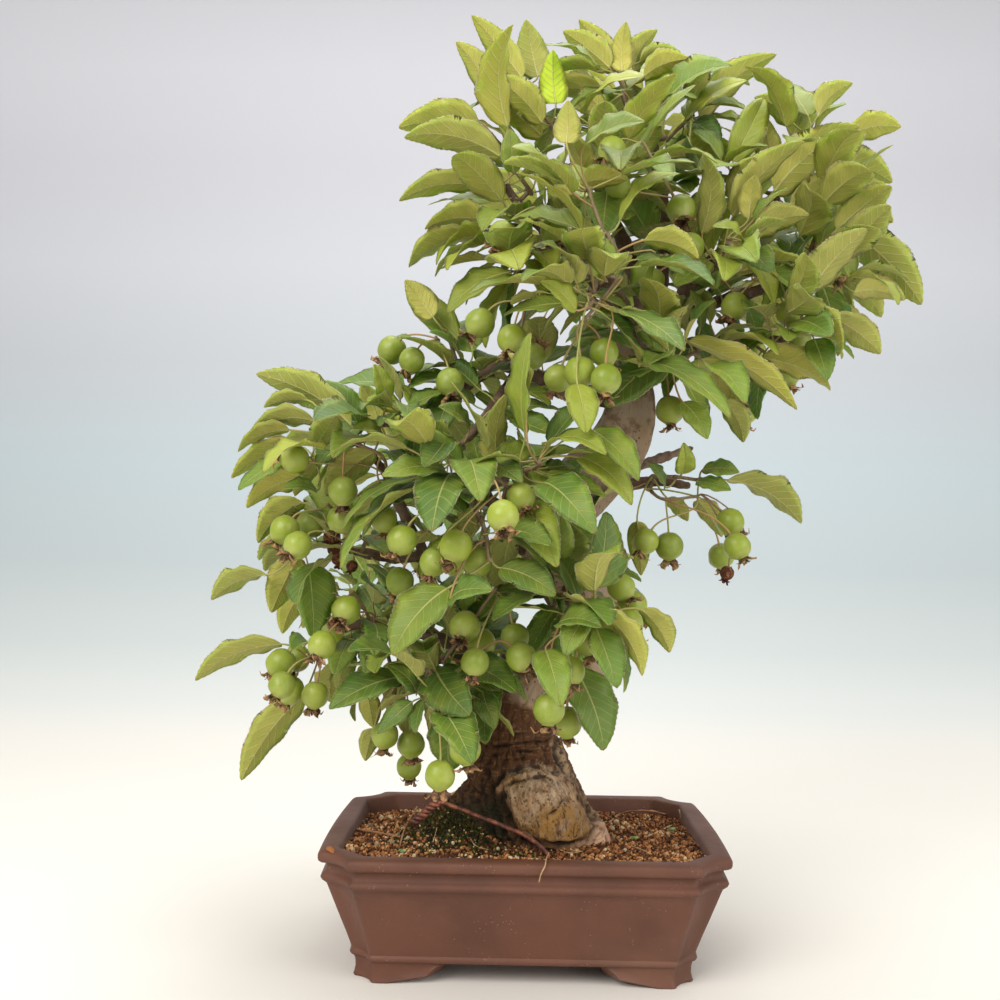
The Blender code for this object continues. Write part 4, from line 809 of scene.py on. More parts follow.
# Marks on the bark: pixel in the middle, and how wide and tall in pixels
CUT_SCAR = ((518, 664), (26, 13))
LOBE_STAIN = ((515, 780), (18, 9))
# The collar patch is pale bark, made brighter than its own colour as painted light.
LIT_COLLAR_PATCH = ((596, 840), (19, 24))
WET_PATCHES = (((494, 820), (15, 30)), ((466, 816), (26, 20)))
# Folds in the bark as the photograph shows them: pixels along a fold, width and depth in mm
FOLDS = (
    (((495, 790), (500, 779), (507, 773), (521, 767), (538, 767), (553, 773)), 2.6, 2.2),
    (((501, 800), (505, 787), (515, 782), (526, 780), (544, 778), (552, 783)), 1.6, 1.5),
    (((503, 795), (506, 808), (513, 824), (520, 837), (532, 844)), 3.6, 4.5),
    (((553, 741), (556, 756), (562, 770), (575, 782), (582, 802), (593, 821)), 2.4, 3.0),
    (((562, 748), (570, 765), (583, 785), (592, 804)), 1.8, 2.2),
    (((526, 830), (547, 844), (568, 845), (585, 839), (591, 827), (587, 811)), 2.4, 2.8),
    (((561, 801), (556, 810), (546, 816), (547, 820)), 1.5, 1.6),
    (((486, 747), (508, 745), (530, 741), (553, 741)), 1.2, 1.1),
    (((490, 756), (515, 751), (545, 751)), 1.1, 1.0),
    (((488, 765), (500, 760), (520, 758), (548, 760)), 1.1, 1.1),
    (((484, 738), (510, 735), (540, 731)), 1.2, 0.9),
    (((478, 800), (484, 820), (494, 838)), 3.0, 2.0),
    (((488, 770), (493, 790), (497, 812), (505, 832)), 2.6, 3.6),
    (((545, 716), (552, 730), (556, 744)), 1.8, 1.6),
)
LOBE_OUTLINE = (
    (497, 788), (503, 777), (519, 768), (540, 765), (554, 772), (566, 788), (579, 803), (588, 818),
    (592, 833), (583, 843), (566, 847), (547, 843), (533, 837), (518, 826), (511, 809), (503, 798),
)
TORN_OUTLINE = (
    (548, 712), (560, 716), (566, 745), (578, 770), (590, 795), (603, 812), (606, 824),
    (596, 822), (590, 812), (574, 793), (560, 776), (552, 752),
)
# Swellings: pixel, reach in mm and height in mm
SWELLINGS = (
    ((540, 806), (21, 24), 5.0), ((598, 832), (10, 17), 4.0), ((461, 785), (5, 7), 2.2),
    ((555, 724), (6, 7), 3.2), ((476, 775), (10, 16), 2.5),
)


def swell(angle, direction, width):
    """Bell-shaped share of a root or lobe at this angle, in degrees."""
    return bell((angle - direction + 180) % 360 - 180, width)


def flare_place(angle, level):
    """Place on the root flare: level 0 is at the soil and 1 at the first trunk ring."""
    top_x, top_y, top_z, top_radius = TRUNK_LINE[0]
    centre_x = FLARE_CENTRE[0] + (top_x - FLARE_CENTRE[0]) * level
    centre_y = FLARE_CENTRE[1] + (top_y - FLARE_CENTRE[1]) * level
    reach = FLARE_RADIUS + sum(reach * swell(angle, way, width) for way, width, reach in FLARE_ROOTS)
    radius = top_radius + (reach - top_radius) * (1 - level) ** 1.4
    radius += LOBE_BULGE * swell(angle, LOBE_DIRECTION, LOBE_WIDTH) * math.sin(math.pi * level ** 0.85)
    turn = math.radians(angle)
    x = centre_x + radius * math.cos(turn)
    y = centre_y + radius * math.sin(turn)
    foot = soil_height(x, y) if level == 0 else flare_place(angle, 0).z
    return Vector((x, y, foot + (top_z - foot) * level))


def trunk_flute(angle, height):
    """Slow swelling of the trunk round its section."""
    turn = math.radians(angle)
    return 1 + 0.035 * math.sin(2 * turn + height * 0.03) + 0.03 * math.sin(3 * turn - height * 0.05)


def smooth_line(points, steps):
    """Places on a smooth line through the points, with this many steps between two points."""
    padded = [2 * points[0] - points[1], *points, 2 * points[-1] - points[-2]]
    line = []
    for a, b, c, d in zip(padded, padded[1:], padded[2:], padded[3:]):
        for step in range(steps):
            t = step / steps
            bend = 2 * a - 5 * b + 4 * c - d
            line.append(0.5 * (2 * b + (c - a) * t + bend * t ** 2 + (3 * b - 3 * c + d - a) * t ** 3))
    line.append(points[-1])
    return line


def carried_frames(line, first_side=None):
    """Tangent, side and rise at each place of a line, carried along it without twist."""
    last = len(line) - 1
    side = first_side
    frames = []
    for index in range(len(line)):
        tangent = (line[min(index + 1, last)] - line[max(index - 1, 0)]).normalized()
        if side is None:
            side = tangent.orthogonal()
        side = (side - tangent * side.dot(tangent)).normalized()
        frames.append((tangent, side, tangent.cross(side)))
    return frames


def trunk_rings():
    """Rings of the plain trunk from its buried foot to its top."""
    shares = [k / TRUNK_SIDES - 0.5 for k in range(TRUNK_SIDES)]
    angles = [270 + 360 * (share - FRONT_SHARE * math.sin(math.tau * share)) for share in shares]
    stations = smooth_line([Vector(station) for station in TRUNK_LINE], 12)
    line = [station.to_3d() for station in stations]
    rings = []
    foot = [flare_place(angle, 0) for angle in angles]
    for depth in (0.0, 0.45, 0.9):
        rings.append([
            Vector((place.x, place.y, BURIED_FOOT + (place.z - BURIED_FOOT) * depth)) for place in foot
        ])
    upper = []
    for station, (_, side, rise) in zip(stations, carried_frames(line, Vector((1, 0, 0)))):
        ring = []
        for angle in angles:
            turn = math.radians(angle)
            radius = station.w * trunk_flute(angle, station.z)
            ring.append(station.to_3d() + (side * math.cos(turn) + rise * math.sin(turn)) * radius)
        upper.append(ring)
    shifts = [place - flare_place(angle, 1) for place, angle in zip(upper[0], angles)]
    for level in (index / FLARE_RINGS for index in range(FLARE_RINGS)):
        rings.append([
            flare_place(angle, level) + shift * level ** 2 for angle, shift in zip(angles, shifts)
        ])
    for ring in upper:
        if (sum(ring, Vector()) - sum(rings[-1], Vector())).length / TRUNK_SIDES > TRUNK_STEP * 0.6:
            rings.append(ring)
    tip = sum(rings[-1], Vector()) / TRUNK_SIDES
    for share, drop in ((0.8, 1.2), (0.45, 2.4)):
        rings.append([tip + (place - tip) * share + Vector((0.4, 0, 1)) * drop for place in upper[-1]])
    return rings


def off_line(pixel, line):
    """Distance in pixels from a pixel to a bent line of pixels."""
    x, y = pixel
    nearest = math.inf
    for (ax, ay), (bx, by) in zip(line, line[1:]):
        along_x, along_y = bx - ax, by - ay
        share = clamped(((x - ax) * along_x + (y - ay) * along_y) / (along_x ** 2 + along_y ** 2))
        nearest = min(nearest, math.hypot(x - ax - along_x * share, y - ay - along_y * share))
    return nearest


def inside_outline(pixel, outline):
    """True if the pixel lies inside the closed outline."""
    x, y = pixel
    inside = False
    for (ax, ay), (bx, by) in zip(outline, outline[1:] + outline[:1]):
        if (ay > y) != (by > y) and x < ax + (bx - ax) * (y - ay) / (by - ay):
            inside = not inside
    return inside


def share_within(pixel, outline, soft):
    """1 well inside an outline of pixels and 0 well outside it, soft over this many pixels."""
    away = off_line(pixel, outline + outline[:1])
    return clamped(0.5 + (away if inside_outline(pixel, outline) else -away) / soft)


def patch_share(pixel, middle, size):
    """Bell-shaped share round a pixel."""
    return bell(math.hypot((pixel[0] - middle[0]) / size[0], (pixel[1] - middle[1]) / size[1]), 1.0)


def bark_relief(place, normal):
    """How far the bark stands out at a place, how it is marked, and its painted shade in cracks and folds."""
    pixel = pixel_of(place)
    facing = clamped(-normal.dot(VIEW_FORWARD) * 2.2)
    from_x, to_x, below_y = FOLDS_SEEN
    near = facing > 0 and from_x < pixel[0] < to_x and pixel[1] > below_y
    lobe = share_within(pixel, LOBE_OUTLINE, 7) * facing if near else 0.0
    torn = share_within(pixel, TORN_OUTLINE, 9) * facing if near else 0.0
    rough = clamped((190 - place.z) / 80) * (1 - 0.85 * lobe)
    flow = Vector((place.x, place.y, place.z * 0.32))
    crack = max(0.38 - abs(noise.noise(flow * 0.21)) * 2, 0)
    tear = max(0.5 - abs(noise.noise(Vector((place.x, place.y, place.z * 0.45)) * 0.33)) * 2.4, 0)
    grain = noise.noise(flow * 0.55 + Vector((9, 3, 5)))
    wrinkle = noise.noise(Vector((place.x * 0.06, place.y * 0.06, place.z * 0.75 + 9)))
    relief = noise.noise(place * 0.045) * (1.1 + rough) + noise.noise(place * 0.13) * 0.7
    relief += grain * (0.2 + 0.5 * rough) + wrinkle * 0.8 * rough * (1 - torn)
    relief -= crack * 3.6 * (0.1 + 0.9 * rough) + tear * 5.5 * torn
    relief += torn * 1.5
    # Painted shade: the bark is darkened in its cracks, tears and wrinkle troughs, where shade falls.
    sunk = max(crack * 2.3 * rough, tear * 2.2 * torn, -wrinkle * 0.9 * rough * (1 - torn) - 0.1)
    if near:
        shift = noise.noise(place * 0.16) * 2.4
        uneven = 0.75 + 0.6 * noise.noise(place * 0.22 + Vector((3, 1, 8)))
        for line, width, depth in FOLDS:
            away = max(off_line(pixel, line) + shift, 0) / PIXELS_PER_MM
            if away < width * 2.6:
                relief -= depth * bell(away, width * 0.8) * uneven * facing
                relief += depth * 0.4 * bell(away - width * 1.6, width * 0.6) * facing
                # Painted shade in the core of each fold.
                sunk = max(sunk, bell(away, width * 0.6) * uneven * facing)
        for (x, y), (wide, tall), out in SWELLINGS:
            off = math.hypot((pixel[0] - x) / PIXELS_PER_MM / wide, (pixel[1] - y) / PIXELS_PER_MM / tall)
            if off < 2.2:
                relief += out * bell(off, 1.0) * facing
    rust = clamped((178 + 34 * noise.noise(place * 0.045) - place.z) / 26)
    return relief, {
        "rust": rust * (1 - 0.96 * lobe) * (1 - 0.75 * torn), "lobe": lobe, "torn": torn,
        "sunk": clamped(sunk),
    }


BARK_GREY = (0.27, 0.20, 0.140)
BARK_TAN = (0.37, 0.205, 0.090)
BARK_RUST = (0.080, 0.030, 0.010)
BARK_DARK = (0.018, 0.009, 0.005)
BARK_OLIVE = (0.27, 0.135, 0.024)
BARK_BUFF = (0.46, 0.33, 0.20)
BARK_PALE = (0.35, 0.285, 0.21)
# Pale pink-buff bark of the collar patch, brightened past its own colour as painted light.
BARK_COLLAR_LIT = (0.95, 0.58, 0.38)
BARK_WET = (0.012, 0.014, 0.005)

bark = Finish("bark")
where = bark.where()
tall = bark.where((1, 1, 0.35))
rust, lobe, torn, sunk = bark.mark("rust"), bark.mark("lobe"), bark.mark("torn"), bark.mark("sunk")
collar = bark.mark("collar")
broad = bark.cloud(55, where, 4)
flecks = bark.cloud(420, tall, 4, 0.65)
streaks = bark.cloud(330, bark.where((1, 1, 0.3)), 4, 0.7)
wrinkles = bark.cloud(330, bark.where((0.3, 0.3, 1.4)), 3, 0.6)
cracks = abs(bark.cloud(80, tall, 4, 0.62) - 0.5).step(0.0, 0.013, 1, 0)
cracks = cracks * bark.cloud(60, where, 2).step(0.42, 0.55)
pores = bark.cells(280, where).step(0.13, 0.22, 1, 0) * broad.step(0.40, 0.55)
pits = bark.cells(170, where).step(0.07, 0.15, 1, 0) * bark.cloud(140, where, 1).step(0.45, 0.6)
patches = bark.cloud(34, where, 4).step(0.50, 0.60)
olive = bark.mark("olive") * bark.cloud(95, where, 4, 0.6).step(0.32, 0.56)
bark_colour = bark.layered(
    bark.mixed(broad.step(0.35, 0.68), BARK_GREY, BARK_TAN),
    ((1 - rust) * (1 - lobe) * 0.6, BARK_PALE),
    (flecks.step(0.55, 0.72) * 0.45, BARK_BUFF),
    (patches * (1 - rust) * (1 - lobe) * 0.7, BARK_RUST),
    (olive * 0.85, BARK_OLIVE),
    ((rust * (0.5 + wrinkles)).step(0.25, 0.9) * 0.95, BARK_RUST),
    ((rust * wrinkles).step(0.52, 0.7) * 0.28, BARK_TAN),
    (rust * flecks.step(0.56, 0.70) * 0.5, BARK_TAN),
    (bark.mark("flaky") * streaks.step(0.48, 0.62), BARK_BUFF),
    (lobe * streaks.step(0.36, 0.46, 1, 0) * 0.75, BARK_RUST),
    (lobe * bark.cloud(120, where, 4).step(0.5, 0.68) * 0.6, BARK_RUST),
    (lobe * bark.cloud(260, where, 4, 0.7).step(0.56, 0.66) * 0.75, BARK_DARK),
    (torn * streaks.step(0.4, 0.66) * 0.85, BARK_BUFF),
    # The collar patch: pale bark with painted light on it.
    (collar * (0.6 + flecks * 0.6), BARK_COLLAR_LIT),
    (pores * (1 - rust) * 0.75, BARK_RUST),
    (pits * lobe * 0.9, BARK_DARK),
    (cracks * (0.35 + lobe * 0.4), BARK_DARK),
    # Painted shade in the folds, cracks and wrinkles, thinned over the collar patch.
    ((sunk + flecks * 0.3 - 0.15).step(0.12, 0.8) * (0.92 - collar * 0.5), BARK_DARK),
    (bark.mark("wet") * 0.85, BARK_WET),
)
bark.give(bark_colour, 0.88 - lobe * 0.14,
          flecks * 0.8 + broad * 0.5 + wrinkles * rust + streaks * (lobe + torn) - pits * lobe - pores * 0.5,
          0.0012, Specular_IOR_Level=0.3)

trunk_places, trunk_faces = joined_rings(trunk_rings())
trunk = shown_mesh("trunk", trunk_places, trunk_faces, bark)
normals = [vertex.normal.copy() for vertex in trunk.data.vertices]
marks = []
for vertex, place, normal in zip(trunk.data.vertices, trunk_places, normals):
    relief, shares = bark_relief(place, normal)
    vertex.co = in_metres(place + normal * relief)
    x, y = pixel = pixel_of(place)
    lobe = shares["lobe"]
    round_lobe = max(-normal.y, 0) * (1 - lobe)
    # The cut scar on upward faces is darkened through the same mark.
    if normal.z > 0.1:
        shares["sunk"] = max(shares["sunk"], patch_share(pixel, *CUT_SCAR) * 0.9)
    shares["olive"] = max(lobe * clamped((y - 796 + 0.5 * (x - 540)) / 22),
                          lobe * patch_share(pixel, *LOBE_STAIN), 0.06)
    shares["flaky"] = lobe * clamped((812 - y) / 14)
    # Pale bark with painted light on the front of the collar, outside the lobe.
    shares["collar"] = round_lobe * patch_share(pixel, *LIT_COLLAR_PATCH)
    shares["rust"] *= 1 - shares["collar"]
    shares["wet"] = min(round_lobe * 1.6 * max(patch_share(pixel, *patch) for patch in WET_PATCHES), 1)
    marks.append(shares)
for name in marks[0]:
    set_values(trunk.data, name, [shares[name] for shares in marks])
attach(trunk, "root")
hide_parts("trunk_and_branches")

# Limbs. They grow out of the trunk with a thick collar and taper to the twigs, with rings
# and knots where older twigs were cut off. Their bark is darker and rougher than the trunk's.
LIMBS = {
    "left": (7, 2.6, (545, 545, 0), (505, 546, -8), (450, 552, -22), (395, 558, -32), (345, 548, -38)),
    "left_rise": (3.6, 2.2, (425, 555, -27), (402, 510, -42), (380, 465, -48), (352, 440, -50)),
    "low_left": (7, 2.6, (500, 705, 0), (484, 662, -12), (440, 640, -24), (380, 622, -28), (330, 632, -30)),
    "low_front": (4, 2.2, (478, 655, -14), (455, 655, -45), (430, 665, -62)),
    "upper_left": (7, 2.6, (615, 400, 0), (560, 388, -12), (505, 366, -24), (455, 392, -32), (405, 412, -38)),
    "upper_left_front": (4, 2.2, (520, 370, -22), (490, 410, -55), (468, 440, -78)),
    "right": (5, 2.2, (585, 498, 0), (630, 485, -4), (662, 482, -8), (690, 486, -12)),
    "crown_left": (7, 2.4, (645, 335, 0), (600, 285, 4), (560, 245, -4), (525, 212, -14), (505, 185, -20)),
    "crown_rise": (7, 2.2, (650, 325, 0), (632, 265, 10), (605, 200, 8), (578, 148, 0), (560, 118, -6)),
    "crown_top": (6, 2.2, (652, 325, 2), (664, 255, 16), (662, 190, 14), (650, 135, 6), (640, 100, 2)),
    "crown_right": (7, 2.4, (652, 335, 2), (690, 288, -2), (732, 240, -8), (775, 195, -12), (800, 165, -12)),
    "right_arm": (6, 2.3, (650, 338, 2), (708, 306, -8), (765, 288, -14), (822, 262, -18)),
    "right_low": (5, 2.2, (640, 360, 0), (690, 344, -22), (742, 338, -36), (790, 340, -42)),
    "crown_front": (5.5, 2.3, (640, 352, -4), (634, 330, -48), (622, 300, -82), (606, 268, -104)),
    "front_left": (5.5, 2.3, (548, 540, -6), (528, 522, -50), (500, 505, -84), (465, 498, -104)),
    "front_low": (5, 2.3, (580, 600, -8), (574, 590, -46), (566, 592, -78), (570, 604, -98)),
    "back_left": (6, 2.3, (545, 545, 6), (520, 520, 62), (490, 500, 100), (455, 492, 124)),
    "back_crown": (6, 2.3, (640, 352, 4), (622, 315, 58), (602, 284, 96), (590, 256, 118)),
    "back_right": (6, 2.3, (645, 345, 4), (690, 315, 52), (738, 292, 86), (775, 268, 104)),
    "back_low": (5.5, 2.3, (495, 705, 5), (458, 655, 52), (418, 622, 80), (378, 604, 94)),
    "back_low_right": (4.5, 2.2, (625, 470, 4), (662, 458, 46), (692, 448, 76)),
    "back_top": (4.2, 2.2, (663, 235, 14), (656, 195, 50), (648, 165, 78)),
}
LIMB_SIDES = 14
LIMB_STEPS = 14
THICK_LIMB = 6.5
KNOT_SPACING = 16.0
KNOT_LENGTH = 2.5
KNOT_SWELL = 1.16
LIMB_DARK = (0.10, 0.058, 0.037)
LIMB_BROWN = (0.20, 0.135, 0.09)
LIMB_GREY = (0.36, 0.31, 0.25)
VALUE_KINDS = {
    "is_leaf": "BOOLEAN", "base": "FLOAT_VECTOR", "tip": "FLOAT_VECTOR", "up": "FLOAT_VECTOR",
}
EMPTY_VALUES = {"BOOLEAN": False, "FLOAT_VECTOR": Vector(), "FLOAT": 0.0}
LEAF_VALUES = ("half_width", "arch", "fold", "twist", "curl", "bow", "phase", "young", "tone")
LINE_VALUES = ("thick", "fresh", "blush")


class Seedling:
    """Points and lines of one spray, with what each of them is to become."""

    def __init__(self):
        self.places = []
        self.edges = []
        self.rows = []

    def leaf(self, half_width, **values):
        self.places.append(values["base"])
        self.rows.append({"is_leaf": True, "half_width": half_width * MM, **values})

    def line(self, places, thick, fresh=0.0, blush=0.0):
        """A tube through places: thick and fresh are one value, or one for each place."""
        first = len(self.places)
        self.places += places
        for k in range(len(places)):
            self.rows.append({
                "thick": (thick[k] if isinstance(thick, list) else thick) * MM,
                "fresh": fresh[k] if isinstance(fresh, list) else fresh,
                "blush": blush,
            })
        self.edges += [(first + k, first + k + 1) for k in range(len(places) - 1)]

    def mesh(self, name, values=LINE_VALUES):
        mesh = bpy.data.meshes.new(name)
        mesh.from_pydata([in_metres(place) for place in self.places], self.edges, [])
        for key in (*VALUE_KINDS, *values):
            kind = VALUE_KINDS.get(key, "FLOAT")
            found = [row.get(key, EMPTY_VALUES[kind]) for row in self.rows]
            if key in ("base", "tip"):
                found = [in_metres(place) for place in found]
            set_values(mesh, key, found, kind)
        return mesh


def limb_growth():
    """Thickens each limb's line to a tube and roughens it."""
    growth = Growth("limb_growth", {"Sides": "Int", "Bark finish": "Material", "Roughness": "Float"})
    place = growth.node("GeometryNodeInputPosition")
    rough = (growth.cloud(190, place, 3) - 0.5) * 1.5 + (growth.cloud(60, place, 1) - 0.5) * 2.4
    push = growth.scaled(growth.node("GeometryNodeInputNormal"), rough * growth.given("Roughness"))
    tube = growth.tubes("Sides", "Bark finish")
    rough_tube = growth.node("GeometryNodeSetPosition", None, {0: tube, "Offset": push})
    growth.end(growth.node("GeometryNodeRealizeInstances", None, {0: rough_tube}))
    return growth


limb_bark = Finish("limb_bark")
where = limb_bark.where()
broad = limb_bark.cloud(80, where, 3)
flecks = limb_bark.cloud(520, where, 4, 0.65)
rings = limb_bark.cells(260, where).step(0.1, 0.2, 1, 0)
limb_colour = limb_bark.layered(
    limb_bark.mixed(broad.step(0.35, 0.7), LIMB_DARK, LIMB_BROWN),
    (flecks.step(0.58, 0.75) * 0.6, LIMB_GREY),
    (rings * 0.4, BARK_DARK),
)
limb_bark.give(limb_colour, 0.85, flecks + broad - rings * 0.4, 0.0009, Specular_IOR_Level=0.3)

seedling = Seedling()
limb_lines = {}
for name, (thick, thin, *pixels) in LIMBS.items():
    rng = random.Random(f"limb {name}")
    rounds = 2 if thick > THICK_LIMB else 1
    line = smooth_line(smooth_line([seen_at(*pixel) for pixel in pixels], rounds), LIMB_STEPS // rounds)
    limb_lines[name] = line
    length = 0.0
    next_knot = rng.uniform(0.5, 1) * KNOT_SPACING
    thicks = []
    for k, place in enumerate(line):
        if k:
            length += (place - line[k - 1]).length
        radius = (thick + (thin - thick) * (k / (len(line) - 1)) ** 0.8) * 0.97
        if length > next_knot:
            radius *= KNOT_SWELL
            if length > next_knot + KNOT_LENGTH:
                next_knot += rng.uniform(0.6, 1.4) * KNOT_SPACING
        thicks.append(radius)
    thicks[-1] *= 0.7
    seedling.line(line, thicks)
limbs = limb_growth().grow("limbs", seedling.mesh("limbs"), Sides=LIMB_SIDES,
                           Bark_finish=limb_bark.material, Roughness=0.0009)
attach(limbs, "root")

# Anchor wire. Copper-brown aluminium wire that holds the tree in its pot. Its two ends come
# up through the soil and are twisted together on the left, and one strand runs to the front.
WIRE_RADIUS = 1.35
WIRE_TWISTED = ((413, 823, -52), (417, 820, -52), (426, 812, -52), (437, 803, -52))
WIRE_SINGLE = (
    (437, 803, -52), (444, 803, -53), (452, 806, -55), (466, 811, -57.5), (480, 817, -60), (494, 822, -62),
    (508, 828, -64), (520, 833, -65), (532, 840, -66), (541, 847, -67), (549, 857, -67.5),
)
WIRE_TURN = 6.5
WIRE_SPREAD = 1.55
WIRE_SIDES = 14
WIRE_DARK = (0.095, 0.032, 0.021)
WIRE_COPPER = (0.28, 0.092, 0.050)
WIRE_DIRT = (0.050, 0.020, 0.014)

wire_finish = Finish("anchor_wire")
where = wire_finish.where()
worn = wire_finish.cloud(210, where, 3).step(0.4, 0.68)
dirt = wire_finish.cloud(700, where, 3)
wire_colour = wire_finish.layered(WIRE_DARK, (worn, WIRE_COPPER), (dirt.step(0.55, 0.75) * 0.5, WIRE_DIRT))
wire_finish.give(wire_colour, dirt.step(0.3, 0.8, 0.38, 0.75), dirt, 0.00015, Metallic=0.35)


def tube_growth():
    """Round, smooth bodies along lines."""
    growth = Growth("tube_growth", {"Sides": "Int", "Finish": "Material"})
    growth.end(growth.node("GeometryNodeRealizeInstances", None, {0: growth.tubes("Sides", "Finish")}))
    return growth


tube_maker = tube_growth()
seedling = Seedling()
core = smooth_line([seen_at(*pixel) for pixel in WIRE_TWISTED], 16)
for strand in (0, math.pi):
    travelled = 0.0
    places = []
    for k, (place, (_, side, rise)) in enumerate(zip(core, carried_frames(core, Vector((0, 0, 1))))):
        travelled += (place - core[k - 1]).length if k else 0
        turn = strand + math.tau * travelled / WIRE_TURN
        places.append(place + (side * math.cos(turn) + rise * math.sin(turn)) * WIRE_SPREAD)
    if strand:
        places += smooth_line([seen_at(*pixel) for pixel in WIRE_SINGLE], 5)[2:]
    else:
        places.append(places[-1] + Vector((2.5, 3.0, -2.5)))
        places.append(places[-1] + Vector((1.5, 4.0, -5.0)))
    seedling.line(places, WIRE_RADIUS)
wire = tube_maker.grow("anchor_wire_twisted", seedling.mesh("wire"), Sides=WIRE_SIDES,
                       Finish=wire_finish.material)
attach(wire, "root")
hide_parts("anchor_wire")

# Litter. Dry sticks, fine roots, leaf scraps, pale pebbles and tiny weeds that lie or grow on
# the soil, and one fine root that hangs over the front of the lip.
LITTER_STICKS = (
    (((354, 829), (369, 831), (385, 834), (401, 837)), 1.0, 0.30),
    (((609, 823), (620, 814), (636, 811), (652, 811), (667, 815)), 0.75, 0.4),
    (((648, 836), (660, 831), (672, 825)), 0.65, 0.85),
    (((679, 810), (682, 821)), 0.8, 0.8),
    (((631, 846), (640, 849), (649, 853)), 0.6, 0.55),
    (((376, 853), (396, 855), (416, 854)), 0.5, 0.15),
    (((417, 807), (409, 820), (399, 833), (391, 838)), 0.7, 0.6),
    (((412, 816), (405, 828), (400, 845)), 0.65, 0.5),
    (((437, 828), (433, 842)), 0.4, 0.7), (((470, 838), (476, 846), (489, 850)), 0.4, 0.75),
    (((560, 850), (571, 853), (583, 851)), 0.4, 0.7), (((690, 838), (699, 846)), 0.4, 0.35),
    (((640, 824), (652, 820), (655, 829)), 0.35, 0.2), (((345, 842), (352, 838), (363, 840)), 0.4, 0.3),
)
OVERHANG = (
    (549, 853, -74), (547, 857, -82), (546, 860, -92), (545, 866, -96.5), (541, 874, -97), (539, 882, -96),
)
LITTER_STONES = (
    ((352, 850), 2.3, 0.75), ((377, 844), 2.4, 0.45), ((382, 818), 2.6, 0.7), ((392, 842), 2.8, 0.4),
    ((453, 843), 1.7, 0.9), ((434, 852), 1.9, 0.85), ((616, 822), 3.0, 0.8), ((612, 829), 2.6, 0.6),
    ((622, 828), 2.2, 0.9), ((613, 838), 2.0, 0.3), ((363, 822), 2.2, 0.3), ((370, 826), 2.5, 0.15),
    ((345, 834), 2.3, 0.35), ((498, 849), 1.5, 0.8), ((506, 850), 1.3, 0.9), ((668, 834), 1.6, 0.7),
    ((650, 820), 1.5, 0.85), ((676, 846), 1.5, 0.5), ((625, 850), 1.4, 0.8), ((408, 838), 1.8, 0.55),
)
STANDING_DEPTH = 55
WEEDS = ((401, 851), (634, 838), (671, 829))
SCRAPS = (((331, 841), (3.0, 4.4, 0.4)), ((606, 815), (2.6, 1.8, 0.7)), ((425, 795), (2.4, 1.4, 0.6)))
LIP_SCRAP_DEPTH = -74
LIP_SCRAP_HEIGHT = 79.0
STICK_RED = (0.20, 0.050, 0.020)
STICK_STRAW = (0.56, 0.38, 0.20)
STICK_BROWN = (0.12, 0.06, 0.03)
STONE_BROWN = (0.10, 0.060, 0.035)
STONE_PALE = (0.62, 0.50, 0.32)
STONE_GRIT = (0.24, 0.16, 0.08)
WEED_GREEN = (0.12, 0.24, 0.05)
WEED_PALE = (0.30, 0.42, 0.15)
SCRAP_BROWN = (0.20, 0.05, 0.015)
SCRAP_ORANGE = (0.62, 0.24, 0.07)


def on_soil(pixel, above):
    """Place on the soil at a pixel, a little above its surface, or before the far wall."""
    for step in range(-880, 860, 4):
        place = seen_at(*pixel, step / 10)
        if place.z < soil_height(place.x, place.y) + above:
            return place
    return seen_at(*pixel, STANDING_DEPTH)


litter_finish = Finish("dry_litter")
fibres = litter_finish.cloud(700, litter_finish.where(), 3)
litter_colour = litter_finish.layered(
    STICK_RED, (litter_finish.mark("fresh"), STICK_STRAW), (fibres.step(0.45, 0.7) * 0.4, STICK_BROWN),
)
litter_finish.give(litter_colour, 0.9, fibres, 0.0003, Specular_IOR_Level=0.25)
seedling = Seedling()
for pixels, thick, tone in LITTER_STICKS:
    line = smooth_line([on_soil(pixel, 0.4 + thick) for pixel in pixels], 4)
    seedling.line(line, [thick * (1.1 - 0.3 * (k % 3)) for k in range(len(line))], tone)
seedling.line(smooth_line([seen_at(*spot) for spot in OVERHANG], 4), 0.4, 0.75)
sticks = tube_maker.grow("sticks_and_roots", seedling.mesh("sticks_and_roots"), Sides=6,
                         Finish=litter_finish.material)
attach(sticks, "root")

stone_finish = Finish("pebbles")
grit = stone_finish.cloud(500, stone_finish.where(), 3)
stone_colour = stone_finish.layered(
    STONE_BROWN, (stone_finish.mark("tone"), STONE_PALE), (grit.step(0.4, 0.7) * 0.5, STONE_GRIT),
)
stone_finish.give(stone_colour, 0.9, grit, 0.0006, Specular_IOR_Level=0.25)
rng = random.Random(64)
spots = []
for pixel, size, tone in LITTER_STONES:
    turn = [rng.uniform(0, math.tau) for _ in range(3)]
    spots.append((on_soil(pixel, 0.6), turn, [size * rng.uniform(0.75, 1.1) for _ in range(3)], tone))
pebbles = scattered("pale_pebbles", pebble_shape("pebble", 12, 0.8), stone_finish, spots)
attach(pebbles, "root")

weed_finish = Finish("weed_leaves")
weed_veins = weed_finish.cloud(300, weed_finish.where(), 2)
weed_finish.give(weed_finish.mixed(weed_veins, WEED_GREEN, WEED_PALE), 0.6, Specular_IOR_Level=0.4)
spots = []
for pixel in WEEDS:
    for k in range(4):
        turn = math.tau * k / 4 + 0.4
        middle = on_soil(pixel, 2.2) + Vector((math.cos(turn), math.sin(turn), 0.1 * k)) * 1.5
        tilt = (0.25 * math.sin(turn) + 0.5, -0.3 * math.cos(turn), turn)
        spots.append((middle, tilt, (1.9, 1.3, 0.35), 0.5))
    spots.append((on_soil(pixel, 0.9), (0, 0, 0), (0.4, 0.4, 2.0), 0.5))
weeds = scattered("weeds", pebble_shape("weed_leaf", 5, 1.0), weed_finish, spots)
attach(weeds, "root")

